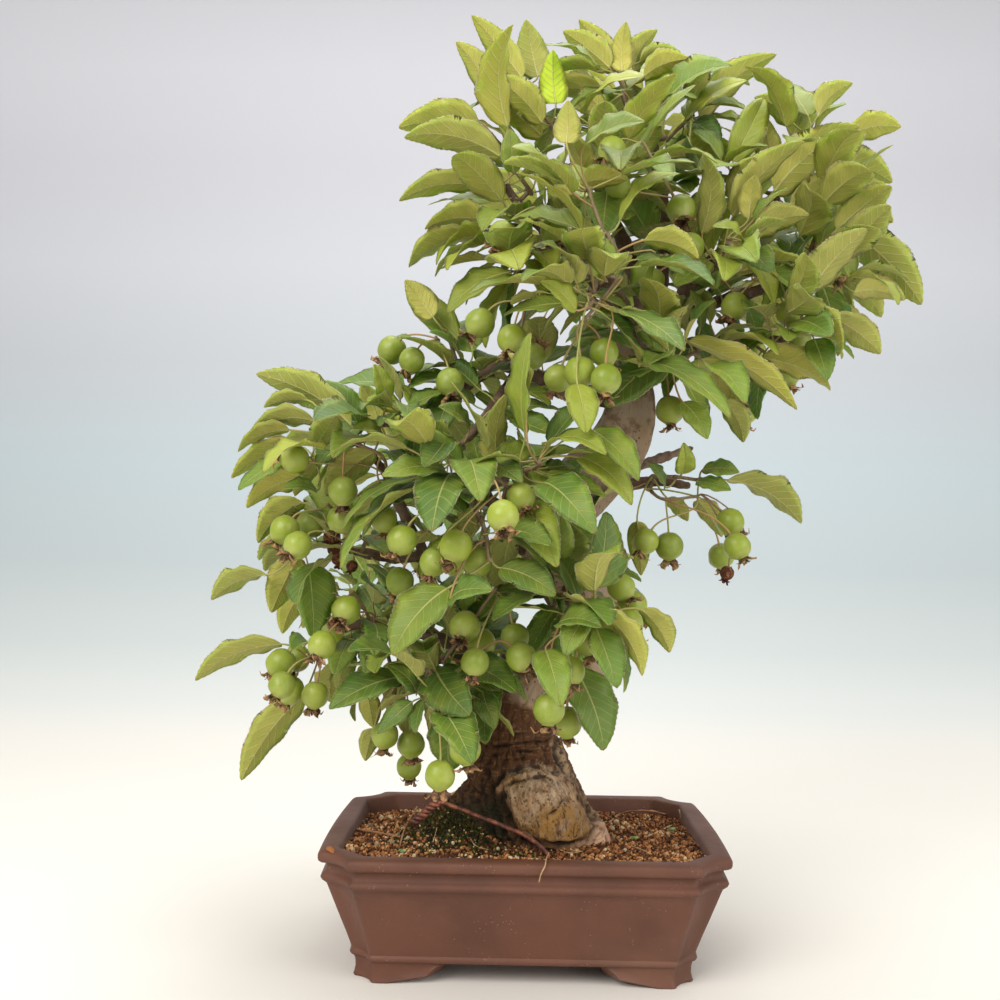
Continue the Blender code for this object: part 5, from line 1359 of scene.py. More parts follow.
scrap_finish = Finish("dry_leaf_scraps")
scrap_patches = scrap_finish.cloud(420, scrap_finish.where(), 3)
scrap_finish.give(scrap_finish.mixed(scrap_patches, SCRAP_BROWN, SCRAP_ORANGE), 0.85, Specular_IOR_Level=0.3)
spots = []
for index, (pixel, size) in enumerate(SCRAPS):
    place = on_soil(pixel, 0.8)
    if index == 0:
        place = seen_at(*pixel, LIP_SCRAP_DEPTH)
        place.z = LIP_SCRAP_HEIGHT
    spots.append((place, (0.3, 0.2 + 0.3 * index, 0.4 + index), size, 0.5))
scraps = scattered("dry_scraps", pebble_shape("scrap", 9, 1.0), scrap_finish, spots)
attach(scraps, "root")

# Leafy sprays. Each is a young brown twig with leaves on arching stalks: ovate to elliptic,
# finely toothed, folded a little along a pale midrib, green above, paler and downy below.
TWIG_RADIUS = 1.35
STALK_RADIUS = 0.62
LEAF_SEGMENTS = 40
SMALL_LEAF_SEGMENTS = 20
LEAF_BASE_CURVE = 0.52
LEAF_TIP_CURVE = 0.77
LEAF_HALF_THICKNESS = 0.22
TOOTH_DEPTH = 0.020
RIB_DEPTH = 0.55
WELD = 2e-5
SHORTEST_LEAF_EDGE = 0.0055
SOLID_RING_SHARE = 0.68
SOLID_RING_WIDTH = 0.82
LIME_LEAF = (556, 75)
YOUNG_HEIGHT = (230, 400)
YOUNG_REACH = (70, 190)


def tips_of(node_name, counts, shortest, spread=math.inf):
    """Tips of a solid, each with the rings of places round it.

    A tip is known by the number of its edges, by their lengths, and by the counts of its rings.
    """
    work = bmesh.new()
    work.from_mesh(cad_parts[node_name].data)
    bmesh.ops.remove_doubles(work, verts=work.verts, dist=WELD)
    tips = []
    for point in work.verts:
        lengths = [edge.calc_length() for edge in point.link_edges]
        if len(lengths) != counts[0] or min(lengths) < shortest or max(lengths) - min(lengths) > spread:
            continue
        known, rings = [point], [[point]]
        for _ in counts:
            rings.append([])
            for other in (edge.other_vert(near) for near in rings[-2] for edge in near.link_edges):
                if other not in known and other not in rings[-1]:
                    rings[-1].append(other)
            known += rings[-1]
        if [len(ring) for ring in rings[1:]] == counts:
            tips.append([[other.co.copy() for other in ring] for ring in rings])
    work.free()
    return tips


def middle_of(ring):
    return in_millimetres(sum(ring, Vector()) / len(ring))


def stem_start(loop):
    """Where a stem leaves the middle of its twig, and which way, from the loop round its start."""
    places = [in_millimetres(place) for place in loop]
    corner, near, far, _ = sorted(places, key=lambda place: (place - places[0]).length)
    outward = (near - corner).cross(far - corner).normalized()
    start, short = sum(places, Vector()) / 4, (near - corner).length
    if (far - corner).length > short * 1.1:
        start = start - outward * (short / 2)
    return {"start": start, "outward": outward}


def leaves_of(node_name):
    """Every leaf of a spray's solid: where it starts, its ends, its upper side and its curves."""
    leaves = []
    for (tip,), ring, _, neck, loop in tips_of(node_name, [4, 4, 4, 4], SHORTEST_LEAF_EDGE):
        tip, base = in_millimetres(tip), middle_of(neck)
        places = [in_millimetres(place) for place in ring]
        _, first, second = min(
            ((places[i] - places[j]).length, i, j) for i in range(4) for j in range(i + 1, 4)
        )
        edges = [places[k] for k in range(4) if k not in (first, second)]
        rib = (places[first] + places[second]) / 2
        edge_middle = (edges[0] + edges[1]) / 2
        up = (places[first] - places[second]).normalized()
        if (edge_middle - rib).dot(up) < 0:
            up = -up
        side = (tip - base).normalized().cross(up)
        half = abs((edges[0] - edges[1]).dot(side)) / 2
        left, right = sorted(edges, key=lambda place: place.dot(side))
        share, length = SOLID_RING_SHARE, (tip - base).length
        leaves.append({
            "base": base, "tip": tip, "up": up, "half_width": half / SOLID_RING_WIDTH,
            "fold": (edge_middle - rib).dot(up) / half,
            "twist": (left - right).dot(up) / (2 * half),
            "arch": (rib - base.lerp(tip, share)).dot(up) / (length * 4 * share * (1 - share)),
            **stem_start(loop),
        })
    return leaves


def curve_between(start, start_way, end, end_way, steps, slack=0.36):
    """Places on a bent line that leaves and arrives in the given directions."""
    reach = (end - start).length * slack
    second = start + start_way * reach
    third = end - end_way * reach
    line = []
    for t in (step / steps for step in range(steps + 1)):
        s = 1 - t
        line.append(start * s ** 3 + second * (3 * s * s * t) + third * (3 * s * t * t) + end * t ** 3)
    return line


def leaf_outline(share):
    """Half width of a leaf at a share of its length, as a share of its widest half width."""
    widest = LEAF_BASE_CURVE / (LEAF_BASE_CURVE + LEAF_TIP_CURVE)
    top = widest ** LEAF_BASE_CURVE * (1 - widest) ** LEAF_TIP_CURVE
    return max(share, 0) ** LEAF_BASE_CURVE * max(1 - share, 0) ** LEAF_TIP_CURVE / top


def leaf_pattern(name, segments, across, has_rib):
    """One leaf of length 1 and half width 1, closed all round, with teeth along its edge."""
    places, rims = [], []

    def point(share, sideways, thick, rim):
        places.append((share, sideways, thick))
        rims.append(rim)
        return len(places) - 1

    start = point(0.0, 0.0, 0.0, 1.0)
    chains = {"up": [], "down": []}
    for index in range(1, segments):
        share = (index / segments) ** 1.08
        wide = leaf_outline(share)
        tooth = (TOOTH_DEPTH if index % 2 else -TOOTH_DEPTH * 0.4) * min(1, 6 * share)
        halves = {}
        for sign in (-1, 1):
            edge = point(share + (tooth > 0) * 0.35 / segments, sign * wide * (1 + tooth), 0.0, 1.0)
            halves["up", sign], halves["down", sign] = [edge], [edge]
            for part in across:
                swell = LEAF_HALF_THICKNESS * (1 - part ** 3)
                halves["up", sign].append(point(share, sign * wide * part, swell, part))
                halves["down", sign].append(point(share, sign * wide * part, -swell, part))
        rib = RIB_DEPTH * (1 - 0.75 * share) if has_rib else 0.0
        for face, thick in (("up", LEAF_HALF_THICKNESS - 0.12), ("down", -(LEAF_HALF_THICKNESS + rib))):
            middle = point(share, 0.0, thick, 0.0)
            chains[face].append([*halves[face, -1], middle, *reversed(halves[face, 1])])
    end = point(1.0, 0.0, 0.0, 1.0)
    faces = []
    for face, rows in chains.items():
        found = []
        for near, far in zip(rows, rows[1:]):
            found += [(near[k], near[k + 1], far[k + 1], far[k]) for k in range(len(near) - 1)]
        for k in range(len(rows[0]) - 1):
            found += [(start, rows[0][k + 1], rows[0][k]), (end, rows[-1][k], rows[-1][k + 1])]
        faces += found if face == "up" else [corners[::-1] for corners in found]
    mesh = bpy.data.meshes.new(name)
    mesh.from_pydata([(0, 0, 0)] * len(places), [], faces)
    set_values(mesh, "spot", places, "FLOAT_VECTOR")
    set_values(mesh, "rim", rims)
    upper = [float(index < len(faces) // 2) for index in range(len(faces))]
    set_values(mesh, "upper", upper, "FLOAT", "FACE")
    mesh.shade_smooth()
    return bpy.data.objects.new(name, mesh)


leaf_shape = leaf_pattern("leaf_shape", LEAF_SEGMENTS, (0.6, 0.12), True)
small_leaf_shape = leaf_pattern("small_leaf_shape", SMALL_LEAF_SEGMENTS, (0.55,), False)


def leaf_growth():
    """Bends the leaf shape to every leaf's own length, fold, arch, twist and ruffled edge."""
    growth = Growth("leaf_growth", {
        "Leaf": "Object", "Blade finish": "Material", "Twig finish": "Material",
        "Stalk sides": "Int", "Ruffle": "Float",
    })
    blades = growth.set_out("Leaf", Selection=growth.value("is_leaf", "BOOLEAN"))
    share, across, thick = growth.parts_of(growth.value("spot", "FLOAT_VECTOR"))
    base, tip, up = (growth.value(name, "FLOAT_VECTOR") for name in ("base", "tip", "up"))
    axis = growth.vectors("SUBTRACT", tip, base)
    length = growth.vectors("LENGTH", axis, output=1)
    side = growth.vectors("NORMALIZE", growth.vectors("CROSS_PRODUCT", axis, up))
    half = growth.value("half_width")
    off_rib = abs(across)
    hump = share * (1 - share) * 4
    turn = (share * math.tau - math.pi).sine()
    ruffle = ((share * 19.0 + growth.value("phase") + across * 0.9).sine() * off_rib ** 2
              * growth.given("Ruffle"))
    lift = (length * growth.value("arch") * hump
            + half * (off_rib * growth.value("fold") - across * growth.value("twist") * turn * 1.1 + ruffle)
            - length * growth.value("curl") * share ** 4
            + thick * MM)
    sideways = half * across + length * growth.value("bow") * hump
    shares = growth.node("ShaderNodeCombineXYZ", None, {0: share, 1: share, 2: share})
    on_rib = growth.vectors("MULTIPLY_ADD", axis, shares, base)
    growth.end_on_stalks(blades, growth.moved(on_rib, (side, sideways), (up, lift)), "Blade finish")
    return growth


LEAF_GREEN = (0.140, 0.230, 0.028)
LEAF_DARK = (0.066, 0.130, 0.020)
# Yellow-green of young leaves, made brighter than their own colour to paint the light on the upper leaves.
LEAF_YOUNG_AND_LIT = (0.41, 0.43, 0.042)
LEAF_LIME = (0.52, 0.68, 0.03)
LEAF_BELOW = (0.35, 0.34, 0.085)
LEAF_BELOW_YOUNG = (0.50, 0.44, 0.070)
LEAF_VEIN = (0.56, 0.56, 0.20)
# Pale down of the leaf's margin, made brighter as a painted highlight along the edge.
LEAF_DOWN_AND_EDGE_HIGHLIGHT = (0.70, 0.66, 0.32)
LEAF_BROWN = (0.30, 0.17, 0.06)
VEIN_PAIRS = 8.0

blade = Finish("leaf_tissue")
share, across, _ = blade.parts_of(blade.mark("spot", 1))
off_rib = abs(across)
upper, young = blade.mark("upper"), blade.mark("young")
where = blade.where()
climb = (share - off_rib ** 1.15 * 0.31 + (blade.cloud(70, where, 2) - 0.5) * 0.04) * VEIN_PAIRS
vein_off = abs(climb - climb.worked("ROUND", climb)) / VEIN_PAIRS
vein = vein_off.step(0.003, 0.013, 1, 0) * off_rib.step(0.7, 0.98, 1, 0) * share.step(0.86, 0.97, 1, 0)
rib = (off_rib + share * 0.04).step(0.03, 0.075, 1, 0)
net = blade.cells(620, where, "DISTANCE_TO_EDGE").step(0.0, 0.12, 1, 0)
# The young colour also carries painted light on the upper leaves.
top_colour = blade.layered(
    LEAF_DARK, (blade.mark("tone"), LEAF_GREEN), (young, LEAF_YOUNG_AND_LIT),
    (blade.cloud(45, where, 3).step(0.4, 0.75) * 0.3, LEAF_YOUNG_AND_LIT),
)
blade_colour = blade.layered(
    LEAF_BELOW, (young, LEAF_BELOW_YOUNG),
    (net * 0.22, LEAF_GREEN),
    (upper, top_colour),
    (young.step(1.2, 1.4), LEAF_LIME),
    (vein * (0.7 - upper * 0.5), LEAF_VEIN),
    (rib * (0.85 - upper * 0.2), LEAF_VEIN),
    # A pale band along the edge: down on the margin, with a painted highlight.
    (blade.mark("rim").step(0.92, 1.0) * 0.7, LEAF_DOWN_AND_EDGE_HIGHLIGHT),
    (share.step(0.955, 1.0) * 0.6, LEAF_BROWN),
)
relief = (net * 0.15 - vein * (0.9 - upper * 0.5) - rib * 1.2) * (upper * 2 - 1)
blade.give(blade_colour, 0.72 - upper * 0.26, relief, 0.0005, Specular_IOR_Level=0.42,
           Subsurface_Weight=0.35, Subsurface_Radius=(0.4, 1.0, 0.16), Subsurface_Scale=0.0012)

TWIG_BROWN = (0.13, 0.075, 0.045)
TWIG_GREY = (0.22, 0.17, 0.12)
TWIG_DOTS = (0.4, 0.33, 0.25)
STALK_GREEN = (0.36, 0.38, 0.10)
STALK_PINK = (0.42, 0.22, 0.11)

twig = Finish("twig_and_stalk")
fresh = twig.mark("fresh")
rough = twig.cloud(420, twig.where((1, 1, 0.4)), 3)
dots = twig.cells(900, twig.where()).step(0.12, 0.2, 1, 0)
twig_colour = twig.layered(
    TWIG_BROWN, (rough.step(0.35, 0.7), TWIG_GREY), (dots * 0.5, TWIG_DOTS),
    (fresh, twig.mixed(twig.mark("blush"), STALK_GREEN, STALK_PINK)),
)
twig.give(twig_colour, 0.75 - fresh * 0.2, rough * (1 - fresh * 0.8), 0.0004, Specular_IOR_Level=0.35)


def add_leaf(seedling, leaf, rng, most_bow, older):
    """Adds a leaf: young and yellow-green towards the top and the tips of the tree, brighter as painted
    light.
    """
    height = (leaf["base"].z - YOUNG_HEIGHT[0]) / YOUNG_HEIGHT[1]
    outward = max(-leaf["base"].x - YOUNG_REACH[0], 0) / YOUNG_REACH[1]
    young = clamped(0.10 + 0.42 * height + 0.35 * outward + rng.uniform(-0.25, 0.35))
    x, y = pixel_of(leaf["base"].lerp(leaf["tip"], 0.5))
    if math.hypot(x - LIME_LEAF[0], y - LIME_LEAF[1]) < 11:
        young = 1.5
    seedling.leaf(
        **{key: leaf[key] for key in ("base", "tip", "up", "half_width", "arch", "fold", "twist")},
        tone=rng.random(), curl=rng.uniform(0, 0.07), bow=rng.uniform(-most_bow, most_bow),
        phase=rng.uniform(0, math.tau), young=max(young - older, 0),
    )


def stalk_to(leaf, start, start_way, overlap, steps):
    """Bent line of a stalk that runs a little way into its leaf."""
    way = ((leaf["tip"] - leaf["base"]).normalized() + leaf["up"] * leaf["arch"] * 4).normalized()
    return curve_between(start, start_way, leaf["base"] + way * overlap, way, steps)


def twig_line(stems):
    """Middle line of a twig through the starts of its stems, from inside the wood outwards."""
    middles = []
    for stem in stems:
        if all((stem["start"] - other).length > 1.2 for other in middles):
            middles.append(stem["start"])
    at = min((wood_tree.find_nearest(middle) for middle in middles), key=lambda found: found[3])[0]
    order = []
    while middles:
        at = min(middles, key=lambda place: (place - at).length)
        middles.remove(at)
        order.append(at)
    seat, outward, _, _ = wood_tree.find_nearest(order[0])
    return smooth_line([seat - outward * 1.5, seat + outward * 2.0, *order], 4)


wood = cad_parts["trunk_and_branches"].data
wood_tree = BVHTree.FromPolygons(
    [in_millimetres(vertex.co) for vertex in wood.vertices], [face.vertices[:] for face in wood.polygons],
)
leaf_maker = leaf_growth()
spray_leaves = {}
spray_lines = {}
for name in sorted(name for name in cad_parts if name.startswith("spray_")):
    rng = random.Random(f"leaves of {name}")
    leaves = spray_leaves[name] = leaves_of(name)
    line = spray_lines[name] = twig_line(leaves)
    last = len(line) - 1
    seedling = Seedling()
    seedling.line(line, [TWIG_RADIUS * (1.25 - 0.5 * k / last) * (1.15 if k % 4 == 0 else 1)
                         for k in range(last + 1)],
                  [0.45 * (k / last) ** 2 for k in range(last + 1)], 0.5)
    for leaf in leaves:
        add_leaf(seedling, leaf, rng, 0.035, 0)
        stalk = stalk_to(leaf, leaf["start"], leaf["outward"], 1.5, 7)
        seedling.line(stalk, [STALK_RADIUS * (1.35 if k == 0 else 1.0) for k in range(8)],
                      [0.6 + 0.4 * k / 7 for k in range(8)], rng.random() ** 2 * 0.8)
    piece = leaf_maker.grow(
        "leaves_" + name.removeprefix("spray_"), seedling.mesh(name, LEAF_VALUES + LINE_VALUES),
        Leaf=leaf_shape, Blade_finish=blade.material, Twig_finish=twig.material, Stalk_sides=6, Ruffle=0.10,
    )
    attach(piece, "root")
    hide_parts(name)

# Fruits. Small green crab apples that hang in bunches on long bent stalks. Each has a dimple
# at its stalk and a dried brown star of curled sepals with old stamens at its lower end.
FRUIT_SIDES = 16
FRUIT_PROFILE = (
    (0.07, -0.90), (0.18, -0.945), (0.36, -0.935), (0.60, -0.81), (0.80, -0.60), (0.94, -0.33),
    (1.0, -0.03), (0.98, 0.24), (0.90, 0.47), (0.76, 0.68), (0.59, 0.83), (0.45, 0.915),
    (0.39, 0.965), (0.38, 1.02), (0.30, 1.02), (0.16, 0.96),
)
SEPAL_COUNT = 5
SEPAL_LINE = ((0.27, 0.95), (0.40, 1.16), (0.57, 1.37), (0.74, 1.44), (0.88, 1.32))
SEPAL_WIDTHS = (0.22, 0.27, 0.22, 0.14, 0.02)
STAMEN_COUNT = 20
FRUIT_STALK_RADIUS = 0.6
BUNCH_TWIG_RADIUS = 1.15
FRUIT_SCALE = 0.97


def fruit_pattern():
    """One fruit of radius 1, with its stalk end down and its sepals on top."""
    rng = random.Random(7)
    rings = []
    for radius, height in FRUIT_PROFILE:
        ring = []
        for turn in (math.tau * k / FRUIT_SIDES for k in range(FRUIT_SIDES)):
            ribbed = 1 + 0.03 * math.cos(turn * 5) * max(height, 0)
            ring.append(Vector((radius * math.cos(turn) * ribbed, radius * math.sin(turn), height)))
        rings.append(ring)
    places, faces = joined_rings(rings)
    withered = [0.0] * len(places)
    spans = []
    for index in range(SEPAL_COUNT):
        turn = math.tau * (index + rng.uniform(-0.15, 0.15)) / SEPAL_COUNT
        curl = rng.uniform(-0.5, 1.0)
        line = []
        for step, (radius, height) in enumerate(SEPAL_LINE):
            reach = (step / 4) ** 2
            bend = curl * reach
            line.append((turn + 0.25 * rng.uniform(-1, 1) * reach, radius - 0.16 * bend, height + 0.3 * bend))
        spans.append((line, SEPAL_WIDTHS, 0.045))
    for index in range(STAMEN_COUNT):
        turn = rng.uniform(0, math.tau)
        lean = rng.uniform(0.1, 0.42)
        line = [(turn, 0.1 + lean * step / 2, 0.95 + rng.uniform(0.13, 0.25) * step) for step in range(3)]
        spans.append((line, (0.05, 0.04, 0.055), 0.04))
    for line, widths, thickness in spans:
        rows = []
        for (turn, radius, height), half in zip(line, widths):
            outward = Vector((math.cos(turn), math.sin(turn), 0))
            sideways = Vector((-math.sin(turn), math.cos(turn), 0))
            middle = outward * radius + Vector((0, 0, height))
            rows.append([middle - sideways * half, middle + sideways * half,
                         middle - Vector((0, 0, thickness)) - outward * thickness * 0.5])
        first = len(places)
        strip_places, strip_faces = joined_rings(rows)
        places += strip_places
        withered += [1.0] * len(strip_places)
        faces += [tuple(first + corner for corner in face) for face in strip_faces]
    mesh = bpy.data.meshes.new("fruit_shape")
    mesh.from_pydata(places, [], faces)
    turn_faces_out(mesh)
    set_values(mesh, "spot", places, "FLOAT_VECTOR")
    set_values(mesh, "withered", withered)
    mesh.shade_smooth()
    return bpy.data.objects.new("fruit_shape", mesh)


def fruits_of(node_name):
    """Every fruit of a bunch's solid: its middle, radius, axis and where its stalk starts."""
    fruits = []
    for (pole,), low, _, _, _, loop in tips_of(node_name, [6, 6, 6, 4, 4], 0.005, 0.0002):
        pole = in_millimetres(pole)
        drop = pole - middle_of(low)
        radius = drop.length / (1 - math.sin(math.radians(45)))
        axis = drop.normalized()
        fruits.append({"centre": pole - axis * radius, "radius": radius, "axis": axis, **stem_start(loop)})
    return fruits


def fruit_growth():
    """Sets a fruit at each point, turned to its axis, with its sepals bent a little."""
    growth = Growth("fruit_growth", {
        "Fruit": "Object", "Skin finish": "Material", "Twig finish": "Material", "Stalk sides": "Int",
    })
    bodies = growth.set_out("Fruit", Selection=growth.value("is_leaf", "BOOLEAN"))
    spot, axis, side, base = (growth.value(name, "FLOAT_VECTOR") for name in ("spot", "up", "tip", "base"))
    third = growth.vectors("CROSS_PRODUCT", axis, side)
    size = growth.value("half_width")
    coarse = growth.vectors("MULTIPLY", spot, (1.6, 1.6, 1.6))
    where = growth.vectors("ADD", coarse, growth.scaled(base, 300.0))
    shaken = growth.vectors("SUBTRACT", growth.cloud(1.0, where, 0.0, output=1), (0.5, 0.5, 0.5))
    uneven = growth.moved(spot, (shaken, growth.value("withered") * 0.55), (shaken, 0.10))
    ways = zip((side, third, axis), growth.parts_of(uneven))
    place = growth.moved(base, *((way, part * size) for way, part in ways))
    growth.end_on_stalks(bodies, place, "Skin finish")
    return growth


SKIN_GREEN = (0.30, 0.37, 0.034)
SKIN_DEEP = (0.20, 0.27, 0.024)
# Pale green of the skin, also used as a painted highlight on the lower end of each fruit.
SKIN_PALE_AND_HIGHLIGHT = (0.43, 0.47, 0.13)
SKIN_DOTS = (0.10, 0.11, 0.02)
SEPAL_BROWN = (0.075, 0.022, 0.018)
SEPAL_STRAW = (0.42, 0.22, 0.10)

skin = Finish("fruit_skin")
where = skin.where()
spot = skin.mark("spot", 1)
_, _, height = skin.parts_of(spot)
dry = skin.mark("withered")
cloud = skin.cloud(90, where, 3)
dots = skin.cells(520, where).step(0.06, 0.11, 1, 0) * skin.cloud(120, where, 1).step(0.45, 0.6)
outer = skin.vectors("LENGTH", skin.vectors("MULTIPLY", spot, (1, 1, 0)), output=1)
dry_share = (skin.cloud(700, where, 2) * 0.7 + outer * 0.75).step(0.45, 0.95)
skin_colour = skin.layered(
    SKIN_GREEN, (skin.mark("tone"), SKIN_DEEP),
    (cloud.step(0.35, 0.75) * 0.5, SKIN_PALE_AND_HIGHLIGHT),
    # Painted highlight: the lower end of each hanging fruit is paler; the skin is also darker round the stalk
    # end.
    (height.step(0.45, 1.0) * 0.6, SKIN_PALE_AND_HIGHLIGHT),
    (height.step(-0.98, -0.7, 1, 0) * 0.4, SKIN_DEEP),
    (dots * 0.55, SKIN_DOTS),
    (dry, skin.mixed(dry_share, SEPAL_BROWN, SEPAL_STRAW)),
)
skin.give(skin_colour, 0.36 + dry * 0.45 + cloud * 0.08, skin.cloud(260, where, 2), 0.0003,
          Specular_IOR_Level=0.45, Subsurface_Weight=0.25, Subsurface_Radius=(0.6, 1.0, 0.2),
          Subsurface_Scale=0.002)

fruit_shape = fruit_pattern()
fruit_maker = fruit_growth()
bunch_fruits = {}
bunch_lines = {}
for name in sorted(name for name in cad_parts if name.startswith("fruits_")):
    rng = random.Random(f"fruits of {name}")
    fruits = bunch_fruits[name] = fruits_of(name)
    line = bunch_lines[name] = twig_line(fruits)
    last = len(line) - 1
    seedling = Seedling()
    seedling.line(line, [BUNCH_TWIG_RADIUS * (1.2 - 0.4 * k / last) * (1.2 if k % 4 == 0 else 1)
                         for k in range(last + 1)], [0.35 * (k / last) for k in range(last + 1)], 0.6)
    for fruit in fruits:
        axis = fruit["axis"]
        side = Matrix.Rotation(rng.uniform(0, math.tau), 3, axis) @ axis.orthogonal().normalized()
        seedling.leaf(fruit["radius"] * FRUIT_SCALE, base=fruit["centre"], tip=in_millimetres(side), up=axis,
                      tone=rng.random())
        neck = fruit["centre"] - axis * (fruit["radius"] * 0.86)
        stalk = curve_between(fruit["start"], fruit["outward"], neck, axis, 12, 0.4)
        thicks = [FRUIT_STALK_RADIUS * {0: 1.5, 11: 1.12, 12: 1.5}.get(k, 1.0) for k in range(13)]
        seedling.line(stalk, thicks, [0.75 + 0.25 * k / 12 for k in range(13)], rng.random())
    piece = fruit_maker.grow(
        name.replace("fruits_", "crab_apples_"), seedling.mesh(name, LEAF_VALUES + LINE_VALUES),
        Fruit=fruit_shape, Skin_finish=skin.material, Twig_finish=twig.material, Stalk_sides=7,
    )
    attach(piece, "root")
    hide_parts(name)

# Withered fruits. A few fruits died early and hang on as small shrivelled brown lumps on
# bent dry stalks, below the twig that bore them.
WITHERED_FRUITS = (
    ((332, 537), 5.6), ((335, 549), 5.0), ((338, 559), 4.2), ((735, 539), 6.0), ((742, 548), 4.4),
    ((727, 573), 4.6), ((352, 566), 3.8),
)
WITHERED_BROWN = (0.075, 0.022, 0.012)
WITHERED_TAN = (0.30, 0.13, 0.055)

husk = Finish("withered_fruit")
creases = husk.cloud(420, husk.where(), 4, 0.7)
husk.give(husk.mixed(creases.step(0.45, 0.68), WITHERED_BROWN, WITHERED_TAN), 0.85, creases, 0.0012,
          Specular_IOR_Level=0.3)
rng = random.Random(88)
seedling = Seedling()
twig_places = [place for line in (*spray_lines.values(), *bunch_lines.values()) for place in line[1:]]
for (x, y), radius in WITHERED_FRUITS:
    start = min(twig_places, key=lambda place: math.hypot(pixel_of(place)[0] - x, pixel_of(place)[1] - y + 8))
    centre = seen_at(x, y, start.y - 4)
    axis = Vector((rng.uniform(-0.5, 0.5), rng.uniform(-0.5, 0.2), -1)).normalized()
    seedling.leaf(radius, base=centre, tip=in_millimetres(axis.orthogonal().normalized()), up=axis, tone=0.5)
    stalk = curve_between(start, Vector((0, -0.6, 0.4)), centre - axis * radius * 0.8, axis, 8, 0.4)
    seedling.line(stalk, 0.55, 0.3, 1.0)
withered_fruits = fruit_maker.grow(
    "withered_fruits", seedling.mesh("withered_fruits", LEAF_VALUES + LINE_VALUES), Fruit=fruit_shape,
    Skin_finish=husk.material, Twig_finish=twig.material, Stalk_sides=6,
)
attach(withered_fruits, "root")

# Spur leaves. Between the long sprays the limbs carry short spurs, each with a rosette of
# smaller leaves of the same kind. They fill the inside of the crown, which hides the limbs.
SPUR_SEED = 20
SPUR_TRIES = 5200
SPUR_LEAF_LENGTHS = (26, 50)
SPUR_HALF_WIDTH = 0.27
SPUR_STALKS = (7, 18)
SPUR_RADIUS = 1.1
MOST_SPUR_LEAVES = 430
CELL = 9
FOLIAGE_OUTLINE = (
    (470, 22), (525, 22), (600, 20), (655, 30), (690, 58), (770, 58), (800, 82), (850, 84), (852, 118),
    (898, 128), (892, 185), (895, 230), (924, 300), (880, 350), (842, 362), (830, 390), (795, 405),
    (745, 440), (700, 436), (664, 420), (652, 388), (612, 392), (602, 440), (640, 468), (660, 510),
    (612, 500), (600, 530), (640, 560), (648, 600), (668, 650), (642, 672), (604, 748), (560, 715),
    (510, 752), (450, 768), (372, 758), (330, 705), (300, 660), (282, 640), (262, 600), (243, 545),
    (232, 474), (240, 425), (262, 378), (330, 380), (395, 345), (405, 282), (425, 262), (425, 226),
    (402, 200), (430, 160), (402, 130), (470, 110), (458, 45),
)
FOLIAGE_BACK = 165.0
FOLIAGE_FRONT = -150.0
WIDEST_AT = 0.45
SPUR_OLDER = 0.35


def plain_leaf(leaf):
    """A leaf as four flat triangles, for keeping leaves apart and for what it hides."""
    base, tip, up = leaf["base"], leaf["tip"], leaf["up"]
    length = (tip - base).length
    side = (tip - base).normalized().cross(up)
    half = leaf["half_width"]
    middle = base.lerp(tip, WIDEST_AT) + up * (leaf["arch"] * length)
    raised = up * (leaf["fold"] * half)
    left, right = middle - side * half + raised, middle + side * half + raised
    return [base, left, middle, right, tip], [(0, 1, 2), (0, 2, 3), (1, 4, 2), (2, 4, 3)]


def hidden_cells(leaf):
    """Cells of the photograph's frame that a leaf covers."""
    (base, left, middle, right, tip), _ = plain_leaf(leaf)
    cells = set()
    for step in range(1, 8):
        t = step / 8
        wide = min(t / WIDEST_AT, (1 - t) / (1 - WIDEST_AT))
        if t < WIDEST_AT:
            rib = base.lerp(middle, t / WIDEST_AT)
        else:
            rib = middle.lerp(tip, (t - WIDEST_AT) / (1 - WIDEST_AT))
        for share in (-0.8, -0.4, 0, 0.4, 0.8):
            reach = (right if share > 0 else left) - middle
            x, y = pixel_of(rib + reach * (abs(share) * wide))
            cells.add((int(x // CELL), int(y // CELL)))
    return cells


class Neighbours:
    """Leaves and fruits that stand already, found by the block of space they are in."""
    BLOCK = 40.0

    def __init__(self):
        self.blocks = {}

    def blocks_of(self, places):
        low = [min(place[axis] for place in places) for axis in range(3)]
        high = [max(place[axis] for place in places) for axis in range(3)]
        spans = [range(int(low[axis] // self.BLOCK), int(high[axis] // self.BLOCK) + 1) for axis in range(3)]
        return [(i, j, k) for i in spans[0] for j in spans[1] for k in spans[2]]

    def add(self, places, faces):
        tree = BVHTree.FromPolygons(places, faces)
        for block in self.blocks_of(places):
            self.blocks.setdefault(block, []).append(tree)

    def touches(self, places, faces):
        tree = BVHTree.FromPolygons(places, faces)
        return any(
            tree.overlap(other) for block in self.blocks_of(places) for other in self.blocks.get(block, ())
        )


def ball(centre, radius):
    """A rough ball, for keeping leaves off a fruit."""
    places = [centre + Vector(way) * radius for way in (
        (1, 0, 0), (-1, 0, 0), (0, 1, 0), (0, -1, 0), (0, 0, 1), (0, 0, -1))]
    faces = [(0, 2, 4), (2, 1, 4), (1, 3, 4), (3, 0, 4), (2, 0, 5), (1, 2, 5), (3, 1, 5), (0, 3, 5)]
    return places, faces


standing = Neighbours()
covered = set()
for leaves in spray_leaves.values():
    for leaf in leaves:
        standing.add(*plain_leaf(leaf))
        covered |= hidden_cells(leaf)
for fruits in bunch_fruits.values():
    for fruit in fruits:
        standing.add(*ball(fruit["centre"], fruit["radius"] * 1.25))
        x, y = pixel_of(fruit["centre"])
        covered |= {(int((x + dx) // CELL), int((y + dy) // CELL)) for dx in (-8, 0, 8) for dy in (-8, 0, 8)}

